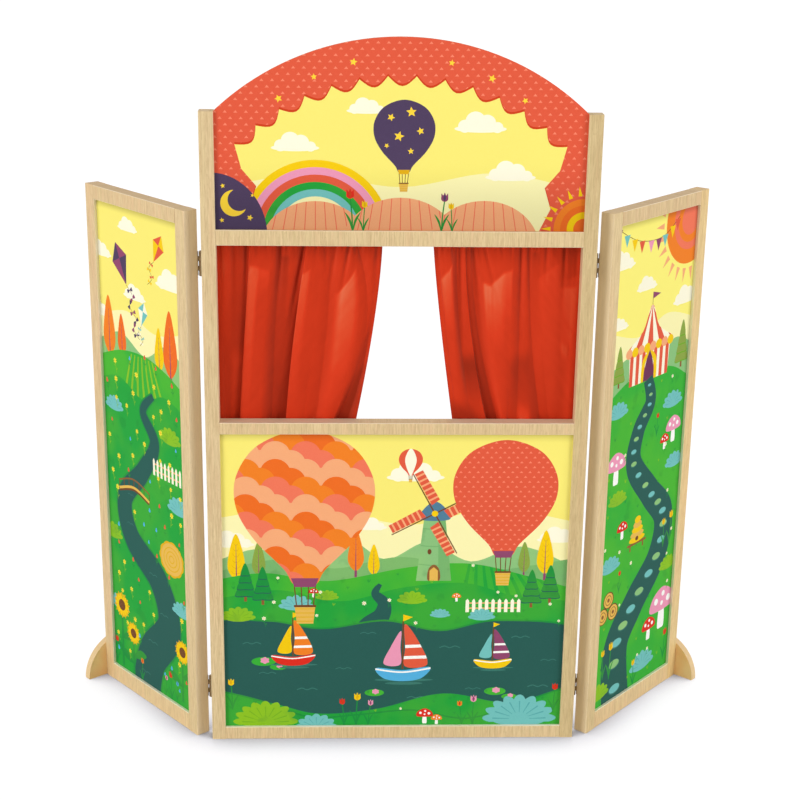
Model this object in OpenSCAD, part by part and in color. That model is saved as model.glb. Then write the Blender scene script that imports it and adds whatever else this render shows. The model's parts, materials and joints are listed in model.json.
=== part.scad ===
// Folding puppet theatre: a centre frame with a stage opening, and two hinged side wings.
// The centre frame stands in the plane y = 0. Its front faces -Y and the floor is z = 0.

/* [Centre frame] */
// Width over the two posts
frame_width = 600; // [520:5:680]
// Height of the posts
post_height = 1038; // [980:1:1100]
// Rise of the arched panel above the posts
arch_rise = 110; // [80:1:160]
// Thickness of every post, stile and rail from front to back
wood_depth = 24; // [22:0.5:30]
// Width of a post seen from the front
post_face = 22; // [20:0.5:30]
// Height of the bottom rail
bottom_rail_height = 22; // [20:0.5:32]
// Underside of the middle rail above the floor
middle_rail_z = 536; // [480:1:600]
// Height of the middle rail
middle_rail_height = 19; // [18:0.5:28]
// Underside of the top rail above the floor
top_rail_z = 837; // [760:1:870]
// Height of the top rail
top_rail_height = 24; // [22:0.5:32]
// Rounding of the long edges of the wood
arris = 1.2; // [0.4:0.1:2]

/* [Panels] */
// Thickness of the printed boards
panel_thickness = 4; // [3:0.1:5]
// How far the boards lie behind the front of the wood
panel_recess = 5; // [3:0.1:6]
// Depth of the grooves that hold the boards
groove_depth = 6; // [4:0.1:8]
// Play of a board in its groove, in thickness
groove_play = 0.2; // [0.1:0.05:0.5]
// Play between the edge of a board and the bottom of its groove
edge_play = 0.3; // [0.1:0.05:1]

/* [Wings] */
// Height of the wings
wing_height = 887; // [820:1:940]
// Width of a wing stile seen from the front
stile_face = 25; // [22:0.5:32]
// Height of the top rail of a wing
wing_top_rail = 23; // [20:0.5:32]
// Height of the bottom rail of a wing
wing_bottom_rail = 31; // [24:0.5:36]
// Angle by which the left wing stands folded back
left_wing_angle = 51; // [20:1:80]
// Angle by which the right wing stands folded back
right_wing_angle = 48; // [20:1:80]
// Gap between post and wing when they lie in one plane
wing_gap = 5; // [4:0.1:8]
// Gap between the two feet when both wings are folded flat
feet_gap = 4; // [2:0.5:10]

/* [Feet] */
// Thickness of a foot
foot_thickness = 13; // [10:0.5:18]
// How far a foot reaches in front of its wing
foot_reach = 36; // [28:0.5:50]
// Height of a foot at the front face of its wing
foot_height = 62; // [58:0.5:80]

/* [Hinges] */
// Height of a hinge
hinge_height = 38; // [32:1:50]
// Width of a hinge leaf from the pin to its edge
leaf_width = 17; // [15:0.5:19]
// Thickness of a hinge leaf
leaf_thickness = 1.5; // [1.2:0.1:2]
// Radius of the hinge pin
pin_radius = 1.5; // [1.2:0.05:1.8]
// Running clearance between pin and knuckle
pin_clearance = 0.05; // [0.03:0.01:0.1]
// Gap between neighbouring knuckles
knuckle_gap = 0.3; // [0.2:0.05:0.6]
// Height of the button at each end of a pin
pin_button = 0.8; // [0.5:0.1:1.5]
// Middle of a hinge from the nearer end of its wing
hinge_from_end = 84; // [60:1:140]
// Number of screws in one hinge leaf
leaf_screws = 3; // [2:1:3]

/* [Curtain rod] */
// Radius of the curtain rod
rod_radius = 2; // [1.5:0.1:2.2]
// Play of the rod in its brackets
rod_play = 0.1; // [0.05:0.01:0.2]
// Wall of a bracket between the post and the rod
bracket_inner_wall = 1.7; // [1.2:0.1:2]
// Outer wall of a bracket over the rod
bracket_outer_wall = 1.3; // [1:0.1:2]
// Width of a bracket
bracket_width = 14; // [12:0.5:16]
// Height of the flange of a bracket
bracket_height = 36; // [34:0.5:44]
// Height of the boss that holds the rod
boss_height = 11; // [9:0.5:12]
// Thickness of the flange of a bracket
flange_thickness = 2; // [1.8:0.1:3]
// Depth of the rod's seat in a bracket
rod_seat = 9; // [6:0.5:10]
// Gap that a folded wing leaves over a bracket
fold_clearance = 0.8; // [0.5:0.1:2]

/* [Curtains] */
// Width that the left curtain takes on the rod
left_curtain_width = 252; // [200:1:275]
// Width that the right curtain takes on the rod
right_curtain_width = 226; // [200:1:275]
// How far the left leading edge has moved outwards at the sill
left_curtain_sweep = 38; // [0:1:60]
// How far the right leading edge has moved outwards at the sill
right_curtain_sweep = 35; // [0:1:60]
// Curve of the left leading edge, where 1 is straight
left_curtain_bow = 2; // [1:0.1:3]
// Curve of the right leading edge, where 1 is straight
right_curtain_bow = 1.2; // [1:0.1:3]
// Number of folds in one curtain
curtain_folds = 7; // [5:1:9]
// Half depth of a fold at the rod
fold_depth_top = 1.6; // [1:0.1:2]
// Half depth of a fold at the hem
fold_depth_hem = 7; // [4:0.5:8]
// Thickness of the doubled cloth
cloth_thickness = 1.2; // [0.8:0.1:1.2]
// Clearance between the cloth and what it hangs beside
cloth_clearance = 0.3; // [0.3:0.05:0.6]
// Drop of the hem below the top of the middle rail
hem_drop = 25; // [5:1:40]

/* [Fasteners] */
// Radius of a dowel
dowel_radius = 3; // [2.5:0.1:3.5]
// Length of a dowel
dowel_length = 30; // [24:1:34]
// Spacing of the two dowels in a joint
dowel_pitch = 9; // [8:0.5:10]
// Glue gap round a dowel and past its ends
glue_gap = 0.1; // [0.05:0.01:0.3]
// Shank radius of the hinge and bracket screws
small_shank = 1.5; // [1.2:0.05:1.6]
// Head radius of the hinge and bracket screws
small_head = 2.9; // [2.5:0.05:3]
// Length of the hinge screws
hinge_screw_length = 12; // [9:0.5:16]
// Length of the bracket screws
bracket_screw_length = 11; // [9:0.5:16]
// Shank radius of the foot screws
foot_shank = 2; // [1.6:0.1:2.2]
// Head radius of the foot screws
foot_head = 4; // [3.5:0.1:4.5]
// Length of the foot screws
foot_screw_length = 30; // [25:1:32]
// Spacing of the two screws in a foot
foot_screw_pitch = 22; // [14:0.5:22]
// Distance from the rail below to the lower foot screw
foot_screw_rise = 2; // [1:0.5:6]
// Clearance of a screw in its hole
screw_clearance = 0.1; // [0.05:0.01:0.2]

/* [Hidden] */
$fn = 48;

half_frame = frame_width / 2;
half_opening = half_frame - post_face;
back = wood_depth / 2;
middle_rail_top = middle_rail_z + middle_rail_height;
top_rail_top = top_rail_z + top_rail_height;

// The boards lie in y from panel_front to panel_back, and the grooves are wider by their play.
panel_front = -back + panel_recess;
panel_back = panel_front + panel_thickness;
groove_width = panel_thickness + groove_play;
board_inset = groove_depth - edge_play;

// The arch runs through the inner top corners of the posts.
arch_top = post_height + arch_rise;
arch_radius = (half_opening * half_opening + arch_rise * arch_rise) / (2 * arch_rise);

// The dowels lie in the middle of the wood behind the groove.
dowel_y = (panel_back + groove_play / 2 + back) / 2;
dowel_hole = dowel_radius + glue_gap;
dowel_hole_depth = dowel_length / 2 + glue_gap;

// The rod and its brackets set how far the hinge pins stand behind the wood.
rod_set = bracket_inner_wall + rod_radius + rod_play;
rod_y = back + rod_set;
rod_z = top_rail_z + top_rail_height / 2;
bracket_depth = rod_set + rod_radius + rod_play + bracket_outer_wall;
bracket_x = half_opening + (post_face - bracket_width) / 2;
rod_half = bracket_x + rod_seat;
bracket_screw_offset = (bracket_height / 2 + boss_height / 2) / 2;
pin_set = (bracket_depth + fold_clearance) / 2;
knuckle_relief = 0.4;
knuckle_radius = pin_set - knuckle_relief;
leaf_relief = 0.5;
plate_width = leaf_width - knuckle_radius - leaf_relief;
knuckle_count = 5;
knuckle_pitch = hinge_height / knuckle_count;
button_rim = 0.9;
button_radius = pin_radius + button_rim;
pivot_x = half_frame + wing_gap / 2;
pivot_y = back + pin_set;

// Folded flat, a wing and its foot fill half the width of the frame.
wing_width = half_frame - foot_thickness - feet_gap / 2;
wing_opening = wing_width - 2 * stile_face;
hinge_z = [hinge_from_end - hinge_height / 2, wing_height - hinge_from_end - hinge_height / 2];

// The front of a foot is an arc that stands upright at the toe.
foot_radius = (foot_reach * foot_reach + foot_height * foot_height) / (2 * foot_reach);
foot_screw_z = [wing_bottom_rail + foot_screw_rise, wing_bottom_rail + foot_screw_rise + foot_screw_pitch];

// The cloth hangs from a pocket round the rod.
pocket_inner = rod_radius + cloth_clearance;
pocket_outer = pocket_inner + cloth_thickness;
cloth_front = back + cloth_clearance + cloth_thickness / 2;
cloth_top = rod_z - (pocket_inner + pocket_outer) / 2;
cloth_hem = middle_rail_top - hem_drop;
// The folds open within this share of the drop, and flatten within this share of the width at its edges.
opening_share = 1 / 6;
flat_share = 0.1;
columns_per_fold = 8;
curtain_rows = 8;

// Sticks of wood with rounded long edges
module rounded_rectangle(width, height) {
    translate([arris, 0]) square([width - 2 * arris, height]);
    translate([0, arris]) square([width, height - 2 * arris]);
    for (x = [arris, width - arris], y = [arris, height - arris]) translate([x, y]) circle(r = arris, $fn = 24);
}

// An upright from x = 0 to its width, with y = 0 in the middle of the wood
module upright(width, height) {
    translate([0, -back, 0]) linear_extrude(height) rounded_rectangle(width, wood_depth);
}

// A rail from x = 0 to its length, with y = 0 in the middle of the wood
module rail(length, height) {
    translate([0, -back, 0]) rotate([90, 0, 90]) linear_extrude(length) rounded_rectangle(wood_depth, height);
}

// The space of a groove, from x and z over a width and a height
module groove(x, z, width, height) {
    translate([x, panel_front - groove_play / 2, z]) cube([width, groove_width, height]);
}

// Places for the two dowels of a joint whose rail has its middle at height z
module dowel_places(x, z) {
    for (side = [-1, 1]) translate([x, dowel_y, z + side * dowel_pitch / 2]) rotate([0, 90, 0]) children();
}

module dowel() {
    translate([0, 0, -dowel_length / 2]) cylinder(r = dowel_radius, h = dowel_length);
}

module dowel_bore() {
    translate([0, 0, -dowel_hole_depth]) cylinder(r = dowel_hole, h = 2 * dowel_hole_depth);
}

// A countersunk screw with a cross recess, with its head's face at z = 0 and its tip below
module screw(shank, head, length) {
    cone = head - shank;
    slot_length = 1.1 * head;
    slot_width = 0.2 * head;
    slot_depth = 0.3 * head;
    difference() {
        union() {
            translate([0, 0, -cone]) cylinder(r1 = shank, r2 = head, h = cone);
            translate([0, 0, -length]) cylinder(r = shank, h = length - cone / 2);
        }
        for (turn = [0, 90]) rotate([0, 0, turn]) translate([-slot_length / 2, -slot_width / 2, -slot_depth])
            cube([slot_length, slot_width, head]);
    }
}

module screw_bore(shank, head, length) {
    cone = head - shank;
    translate([0, 0, -cone]) cylinder(r1 = shank + screw_clearance, r2 = head + screw_clearance, h = cone);
    translate([0, 0, -length - screw_clearance]) cylinder(r = shank + screw_clearance, h = length);
    cylinder(r = head + screw_clearance, h = 1);
}

// Centre frame
module rail_heights() {
    for (z = [
        bottom_rail_height / 2,
        middle_rail_z + middle_rail_height / 2,
        top_rail_z + top_rail_height / 2
    ]) translate([0, 0, z]) children();
}

module bracket_screw_places() {
    for (side = [-1, 1]) translate([
        bracket_x + bracket_width / 2, back + flange_thickness, rod_z + side * bracket_screw_offset
    ]) rotate([-90, 0, 0]) children();
}

module frame_hinge_screw_places() {
    for (z = hinge_z) translate([pivot_x, pivot_y, z]) mirror([1, 0, 0]) leaf_screw_places() children();
}

module post() {
    color("burlywood") difference() {
        translate([half_opening, 0, 0]) upright(post_face, post_height);
        groove(
            half_opening - 1, bottom_rail_height - groove_depth,
            groove_depth + 1, middle_rail_z - bottom_rail_height + 2 * groove_depth
        );
        groove(half_opening - 1, top_rail_top - groove_depth, groove_depth + 1, post_height);
        rail_heights() dowel_places(half_opening, 0) dowel_bore();
        frame_hinge_screw_places() screw_bore(small_shank, small_head, hinge_screw_length);
        bracket_screw_places() screw_bore(small_shank, small_head, bracket_screw_length);
    }
}

module cross_rail(z, height) {
    difference() {
        translate([-half_opening, 0, z]) rail(2 * half_opening, height);
        for (side = [-1, 1]) dowel_places(side * half_opening, z + height / 2) dowel_bore();
    }
}

module left_post() mirror([1, 0, 0]) post();
module right_post() post();

module top_rail() {
    color("burlywood") difference() {
        cross_rail(top_rail_z, top_rail_height);
        groove(-half_frame, top_rail_top - groove_depth, frame_width, groove_depth + 1);
    }
}

module middle_rail() {
    color("burlywood") difference() {
        cross_rail(middle_rail_z, middle_rail_height);
        groove(-half_frame, middle_rail_z - 1, frame_width, groove_depth + 1);
    }
}

module bottom_rail() {
    color("burlywood") difference() {
        cross_rail(0, bottom_rail_height);
        groove(-half_frame, bottom_rail_height - groove_depth, frame_width, groove_depth + 1);
    }
}

module board(x, z, width, height) {
    translate([x, panel_front, z]) cube([width, panel_thickness, height]);
}

module arched_panel() {
    half_width = half_opening + board_inset;
    foot_z = top_rail_top - groove_depth;
    color("tomato") translate([0, panel_back, 0]) rotate([90, 0, 0]) linear_extrude(panel_thickness) intersection() {
        translate([0, arch_top - arch_radius]) circle(r = arch_radius, $fn = 240);
        translate([-half_width, foot_z]) square([2 * half_width, arch_top - foot_z + 1]);
    }
}

module lower_panel() {
    color("seagreen") board(
        -half_opening - board_inset, bottom_rail_height - groove_depth,
        2 * (half_opening + board_inset), middle_rail_z - bottom_rail_height + groove_depth + board_inset
    );
}

module frame_dowels() {
    color("tan") for (side = [-1, 1]) rail_heights() dowel_places(side * half_opening, 0) dowel();
}

// Curtain rod and brackets
module curtain_rod() {
    color("silver") translate([-rod_half, rod_y, rod_z]) rotate([0, 90, 0]) cylinder(r = rod_radius, h = 2 * rod_half);
}

module rod_bracket() {
    color("gainsboro") difference() {
        union() {
            translate([bracket_x, back, rod_z - bracket_height / 2])
                cube([bracket_width, flange_thickness, bracket_height]);
            translate([bracket_x, back, rod_z - boss_height / 2])
                cube([bracket_width, bracket_depth, boss_height]);
        }
        translate([bracket_x - 1, rod_y, rod_z]) rotate([0, 90, 0])
            cylinder(r = rod_radius + rod_play, h = rod_seat + rod_play + 1);
        bracket_screw_places() screw_bore(small_shank, small_head, bracket_screw_length);
    }
}

module left_rod_bracket() mirror([1, 0, 0]) rod_bracket();
module right_rod_bracket() rod_bracket();

module bracket_screws() {
    color("silver") for (side = [0, 1]) mirror([side, 0, 0])
        bracket_screw_places() screw(small_shank, small_head, bracket_screw_length);
}

// Curtains: s runs from the outer edge to the leading edge, t from the rod to the hem
function hem_height(t) = cloth_top - t * (cloth_top - cloth_hem);
function sill_share(t) = (cloth_top - hem_height(t)) / (cloth_top - middle_rail_top);
function edge_swept(t, sweep, bow) = sweep * pow(sill_share(t), bow);
function open_share(t) = min(1, t / opening_share);
function rim_share(s) = min(1, s / flat_share, (1 - s) / flat_share);
function fold_depth(s, t) = fold_depth_top + (fold_depth_hem - fold_depth_top) * t * rim_share(s);
function cloth_x(s, t, width, sweep, bow) = half_opening - s * (width - edge_swept(t, sweep, bow));
function folded_y(s, t) = cloth_front + fold_depth(s, t) * (1 - cos(360 * curtain_folds * s));
function cloth_y(s, t) = rod_y + (folded_y(s, t) - rod_y) * open_share(t);

// A sheet of cloth with two faces, closed round its edges
module hanging_cloth(width, sweep, bow) {
    columns = curtain_folds * columns_per_fold;
    stride = columns + 1;
    layer = stride * (curtain_rows + 1);
    sheet = [for (face = [-1, 1], row = [0 : curtain_rows], column = [0 : columns])
        let (s = column / columns, t = row / curtain_rows)
        [cloth_x(s, t, width, sweep, bow), cloth_y(s, t) + face * cloth_thickness / 2, hem_height(t)]];
    front = [for (row = [0 : curtain_rows - 1], column = [0 : columns - 1])
        let (a = row * stride + column, b = a + 1, c = b + stride, d = a + stride)
        each [[a, c, b], [a, d, c]]];
    rear = [for (f = front) [f[2] + layer, f[1] + layer, f[0] + layer]];
    rim = concat(
        [for (column = [0 : columns - 1]) column],
        [for (row = [0 : curtain_rows - 1]) row * stride + columns],
        [for (column = [columns : -1 : 1]) curtain_rows * stride + column],
        [for (row = [curtain_rows : -1 : 1]) row * stride]
    );
    edge = [for (k = [0 : len(rim) - 1])
        let (a = rim[k], b = rim[(k + 1) % len(rim)])
        each [[a, b, a + layer], [b, b + layer, a + layer]]];
    polyhedron(points = sheet, faces = concat(front, rear, edge));
}

module curtain(width, sweep, bow) {
    color("firebrick") difference() {
        union() {
            hanging_cloth(width, sweep, bow);
            translate([half_opening - width, rod_y, rod_z]) rotate([0, 90, 0])
                cylinder(r = pocket_outer, h = width, $fn = 24);
        }
        translate([half_opening - width - 1, rod_y, rod_z]) rotate([0, 90, 0])
            cylinder(r = pocket_inner, h = width + 2, $fn = 24);
    }
}

module left_curtain() mirror([1, 0, 0]) curtain(left_curtain_width, left_curtain_sweep, left_curtain_bow);
module right_curtain() curtain(right_curtain_width, right_curtain_sweep, right_curtain_bow);

// Hinges, with the pin on the z axis and the leaf towards +X, its wood side at y = -pin_set
module leaf_screw_places() {
    for (k = [0 : leaf_screws - 1])
        translate([leaf_width - plate_width / 2, leaf_thickness - pin_set, hinge_height * (k + 0.5) / leaf_screws])
            rotate([-90, 0, 0]) children();
}

module leaf(knuckles) {
    color("darkgoldenrod") difference() {
        union() {
            translate([leaf_width - plate_width, -pin_set, 0]) cube([plate_width, leaf_thickness, hinge_height]);
            for (k = knuckles) translate([0, 0, k * knuckle_pitch + knuckle_gap / 2]) {
                translate([0, -pin_set, 0])
                    cube([leaf_width - plate_width, leaf_thickness, knuckle_pitch - knuckle_gap]);
                cylinder(r = knuckle_radius, h = knuckle_pitch - knuckle_gap);
            }
        }
        translate([0, 0, -1]) cylinder(r = pin_radius + pin_clearance, h = hinge_height + 2);
        leaf_screw_places() screw_bore(small_shank, small_head, hinge_screw_length);
    }
}

module frame_leaf(z) {
    translate([pivot_x, pivot_y, z]) mirror([1, 0, 0]) leaf([0, 2, 4]);
}

module hinge_pin() {
    translate([0, 0, -pin_button / 2]) cylinder(r = pin_radius, h = hinge_height + pin_button);
    for (z = [-pin_button, hinge_height]) translate([0, 0, z]) cylinder(r = button_radius, h = pin_button);
}

module hinge_pins() {
    color("darkgoldenrod") for (z = hinge_z) translate([pivot_x, pivot_y, z]) hinge_pin();
}

module left_upper_frame_leaf() mirror([1, 0, 0]) frame_leaf(hinge_z[1]);
module left_lower_frame_leaf() mirror([1, 0, 0]) frame_leaf(hinge_z[0]);
module right_upper_frame_leaf() frame_leaf(hinge_z[1]);
module right_lower_frame_leaf() frame_leaf(hinge_z[0]);
module left_hinge_pins() mirror([1, 0, 0]) hinge_pins();
module right_hinge_pins() hinge_pins();

module frame_hinge_screws() {
    color("gold") for (side = [0, 1]) mirror([side, 0, 0])
        frame_hinge_screw_places() screw(small_shank, small_head, hinge_screw_length);
}

// Wings: on_hinge puts the pin on the z axis, and on_wing puts the wing's inner edge at x = 0
module on_hinge(right) {
    if (right) translate([pivot_x, pivot_y, 0]) rotate([0, 0, right_wing_angle]) children();
    else mirror([1, 0, 0]) translate([pivot_x, pivot_y, 0]) rotate([0, 0, left_wing_angle]) children();
}

module on_wing(right) {
    on_hinge(right) translate([wing_gap / 2, -pin_set - back, 0]) children();
}

module wing_hinge_screw_places() {
    for (z = hinge_z) translate([0, 0, z]) leaf_screw_places() children();
}

module foot_screw_places() {
    for (z = foot_screw_z) translate([wing_width + foot_thickness, dowel_y, z]) rotate([0, 90, 0]) children();
}

module wing_rail_heights() {
    for (z = [wing_bottom_rail / 2, wing_height - wing_top_rail / 2]) translate([0, 0, z]) children();
}

module stile(x, groove_x) {
    color("burlywood") difference() {
        translate([x, 0, 0]) upright(stile_face, wing_height);
        groove(
            groove_x, wing_bottom_rail - groove_depth,
            groove_depth + 1, wing_height - wing_top_rail - wing_bottom_rail + 2 * groove_depth
        );
        for (end = [stile_face, wing_width - stile_face])
            wing_rail_heights() dowel_places(end, 0) dowel_bore();
        translate([-wing_gap / 2, pin_set + back, 0])
            wing_hinge_screw_places() screw_bore(small_shank, small_head, hinge_screw_length);
        foot_screw_places() screw_bore(foot_shank, foot_head, foot_screw_length);
    }
}

module wing_rail(z, height, groove_z) {
    color("burlywood") difference() {
        translate([stile_face, 0, z]) rail(wing_opening, height);
        groove(0, groove_z, wing_width, groove_depth + 1);
        for (end = [stile_face, wing_width - stile_face]) dowel_places(end, z + height / 2) dowel_bore();
    }
}

module wing_panel(shade) {
    color(shade) board(
        stile_face - board_inset, wing_bottom_rail - groove_depth,
        wing_opening + 2 * board_inset, wing_height - wing_top_rail - wing_bottom_rail + groove_depth + board_inset
    );
}

module wing_dowels() {
    color("tan") for (end = [stile_face, wing_width - stile_face]) wing_rail_heights() dowel_places(end, 0) dowel();
}

module foot() {
    toe = -back - foot_reach;
    color("peru") difference() {
        translate([wing_width, 0, 0]) rotate([90, 0, 90]) linear_extrude(foot_thickness) intersection() {
            translate([toe + foot_radius, 0]) circle(r = foot_radius, $fn = 120);
            translate([toe, 0]) square([back - toe, foot_radius]);
        }
        foot_screw_places() screw_bore(foot_shank, foot_head, foot_screw_length);
    }
}

module foot_screws() {
    color("silver") foot_screw_places() screw(foot_shank, foot_head, foot_screw_length);
}

module wing_hinge_screws() {
    color("gold") wing_hinge_screw_places() screw(small_shank, small_head, hinge_screw_length);
}

module wing_leaf(z) {
    translate([0, 0, z]) leaf([1, 3]);
}

module inner_stile() stile(0, stile_face - groove_depth);
module outer_stile() stile(wing_width - stile_face, wing_width - stile_face - 1);
module wing_rail_above() wing_rail(wing_height - wing_top_rail, wing_top_rail, wing_height - wing_top_rail - 1);
module wing_rail_below() wing_rail(0, wing_bottom_rail, wing_bottom_rail - groove_depth);

module left_upper_wing_leaf() on_hinge(false) wing_leaf(hinge_z[1]);
module left_lower_wing_leaf() on_hinge(false) wing_leaf(hinge_z[0]);
module left_wing_hinge_screws() on_hinge(false) wing_hinge_screws();
module left_inner_stile() on_wing(false) inner_stile();
module left_outer_stile() on_wing(false) outer_stile();
module left_wing_top_rail() on_wing(false) wing_rail_above();
module left_wing_bottom_rail() on_wing(false) wing_rail_below();
module left_wing_panel() on_wing(false) wing_panel("mediumseagreen");
module left_wing_dowels() on_wing(false) wing_dowels();
module left_foot() on_wing(false) foot();
module left_foot_screws() on_wing(false) foot_screws();

module right_upper_wing_leaf() on_hinge(true) wing_leaf(hinge_z[1]);
module right_lower_wing_leaf() on_hinge(true) wing_leaf(hinge_z[0]);
module right_wing_hinge_screws() on_hinge(true) wing_hinge_screws();
module right_inner_stile() on_wing(true) inner_stile();
module right_outer_stile() on_wing(true) outer_stile();
module right_wing_top_rail() on_wing(true) wing_rail_above();
module right_wing_bottom_rail() on_wing(true) wing_rail_below();
module right_wing_panel() on_wing(true) wing_panel("khaki");
module right_wing_dowels() on_wing(true) wing_dowels();
module right_foot() on_wing(true) foot();
module right_foot_screws() on_wing(true) foot_screws();

left_post();
right_post();
top_rail();
middle_rail();
bottom_rail();
arched_panel();
lower_panel();
frame_dowels();
curtain_rod();
left_rod_bracket();
right_rod_bracket();
bracket_screws();
left_curtain();
right_curtain();
left_upper_frame_leaf();
left_lower_frame_leaf();
right_upper_frame_leaf();
right_lower_frame_leaf();
left_hinge_pins();
right_hinge_pins();
frame_hinge_screws();
left_upper_wing_leaf();
left_lower_wing_leaf();
left_wing_hinge_screws();
left_inner_stile();
left_outer_stile();
left_wing_top_rail();
left_wing_bottom_rail();
left_wing_panel();
left_wing_dowels();
left_foot();
left_foot_screws();
right_upper_wing_leaf();
right_lower_wing_leaf();
right_wing_hinge_screws();
right_inner_stile();
right_outer_stile();
right_wing_top_rail();
right_wing_bottom_rail();
right_wing_panel();
right_wing_dowels();
right_foot();
right_foot_screws();
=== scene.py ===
"""The looks of a folding puppet theatre: beech frame and wings, printed boards, red satin curtains.

Lengths are in metres in the model's own frame, which has X to the right, Y away from the audience and Z up.
Printed shapes are in millimetres, across and up the opening that they fill.
"""
import json
import math

import bpy
from mathutils import Matrix, Vector, noise
from mathutils.geometry import delaunay_2d_cdt


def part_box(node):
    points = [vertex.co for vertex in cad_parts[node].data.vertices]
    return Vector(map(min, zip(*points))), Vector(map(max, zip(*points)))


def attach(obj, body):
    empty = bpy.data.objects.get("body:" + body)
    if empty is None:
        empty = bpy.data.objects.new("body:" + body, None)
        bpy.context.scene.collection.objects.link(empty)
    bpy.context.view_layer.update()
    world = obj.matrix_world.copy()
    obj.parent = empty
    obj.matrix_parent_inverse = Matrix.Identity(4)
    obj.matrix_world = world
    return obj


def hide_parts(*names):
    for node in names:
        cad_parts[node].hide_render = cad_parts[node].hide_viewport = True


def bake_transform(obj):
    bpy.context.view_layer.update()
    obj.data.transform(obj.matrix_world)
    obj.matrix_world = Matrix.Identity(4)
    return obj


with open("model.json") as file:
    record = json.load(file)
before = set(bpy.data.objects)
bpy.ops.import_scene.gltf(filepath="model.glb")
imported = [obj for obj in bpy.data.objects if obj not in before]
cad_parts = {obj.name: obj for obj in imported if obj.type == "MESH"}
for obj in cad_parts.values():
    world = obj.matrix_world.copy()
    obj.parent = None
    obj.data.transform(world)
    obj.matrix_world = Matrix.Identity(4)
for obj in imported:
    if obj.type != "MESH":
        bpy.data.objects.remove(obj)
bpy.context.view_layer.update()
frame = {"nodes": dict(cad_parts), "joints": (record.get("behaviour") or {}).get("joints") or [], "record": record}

MM = 0.001
UP = Vector((0, 0, 1))


def add_object(name, data):
    made = bpy.data.objects.new(name, data)
    bpy.context.scene.collection.objects.link(made)
    return made


def wing_turn(side):
    """How far a wing stands folded back, and where it turns. Its fold ends when it lies behind the frame."""
    name = "left_wing_fold" if side < 0 else "right_wing_fold"
    joint = next(joint for joint in frame["joints"] if joint["name"] == name)
    return math.radians(180 - joint["range_deg"][1]), Vector(joint["pos_m"])


# Node trees


def channel(level):
    """One colour channel as light, from its level between 0 and 255 on a screen."""
    level /= 255
    return level / 12.92 if level <= 0.04045 else ((level + 0.055) / 1.055) ** 2.4


def colour(red, green, blue):
    return (channel(red), channel(green), channel(blue), 1.0)


def find_socket(sockets, name):
    """A socket by its place, or by its name among those that the node's settings leave in use."""
    if isinstance(name, int):
        return sockets[name]
    return next(socket for socket in sockets if socket.name == name and socket.enabled)


class Value:
    """A socket that takes part in sums: each sum adds its Math node to the tree."""

    def __init__(self, graph, socket):
        self.graph = graph
        self.socket = socket

    def output(self, name):
        return Value(self.graph, find_socket(self.socket.node.outputs, name))

    def maths(self, operation, *terms):
        return self.graph.node("ShaderNodeMath", {"operation": operation}, dict(enumerate(terms)))

    def __add__(self, other):
        return self.maths("ADD", self, other)

    def __radd__(self, other):
        return self.maths("ADD", other, self)

    def __sub__(self, other):
        return self.maths("SUBTRACT", self, other)

    def __rsub__(self, other):
        return self.maths("SUBTRACT", other, self)

    def __mul__(self, other):
        return self.maths("MULTIPLY", self, other)

    def __abs__(self):
        return self.maths("ABSOLUTE", self)

    def wave(self):
        return self.maths("SINE", self)

    def larger(self, other):
        return self.maths("MAXIMUM", self, other)

    def between(self, low, high):
        """0 at low, 1 at high, and smooth between them."""
        inputs = {"Value": self, "From Min": low, "From Max": high}
        return self.graph.node("ShaderNodeMapRange", {"interpolation_type": "SMOOTHSTEP"}, inputs)


class Graph:
    """A node tree as it is built up, for a material, the world or a modifier."""

    def __init__(self, tree):
        self.tree = tree
        tree.nodes.clear()

    def node(self, kind, settings=None, inputs=None, output=0):
        made = self.tree.nodes.new(kind)
        for name, setting in (settings or {}).items():
            if name == "stops":
                self.set_stops(made.color_ramp, setting)
            else:
                setattr(made, name, setting)
        for name, value in (inputs or {}).items():
            socket = find_socket(made.inputs, name)
            for each in value if isinstance(value, list) else [value]:
                if isinstance(each, Value):
                    self.tree.links.new(each.socket, socket)
                else:
                    socket.default_value = each
        return Value(self, find_socket(made.outputs, output)) if made.outputs else None

    @staticmethod
    def set_stops(ramp, stops):
        while len(ramp.elements) < len(stops):
            ramp.elements.new(1)
        for element, (place, tint) in zip(ramp.elements, stops):
            element.position = place
            element.color = tint

    def mix(self, share, first, second, blend="MIX"):
        settings = {"data_type": "RGBA", "blend_type": blend}
        return self.node("ShaderNodeMix", settings, {"Factor": share, "A": first, "B": second}, "Result")

    def noise(self, place, scale, detail=2.0, roughness=0.5, stretch=None):
        """Soft noise in even sizes, or drawn out along an axis by a stretch of less than 1."""
        if stretch:
            place = self.node("ShaderNodeMapping", {}, {"Vector": place, "Scale": stretch})
        sizes = {"Vector": place, "Scale": scale, "Detail": detail, "Roughness": roughness}
        return self.node("ShaderNodeTexNoise", {}, sizes)

    def parts(self, vector):
        first = self.node("ShaderNodeSeparateXYZ", {}, {"Vector": vector})
        return first, first.output("Y"), first.output("Z")


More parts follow.
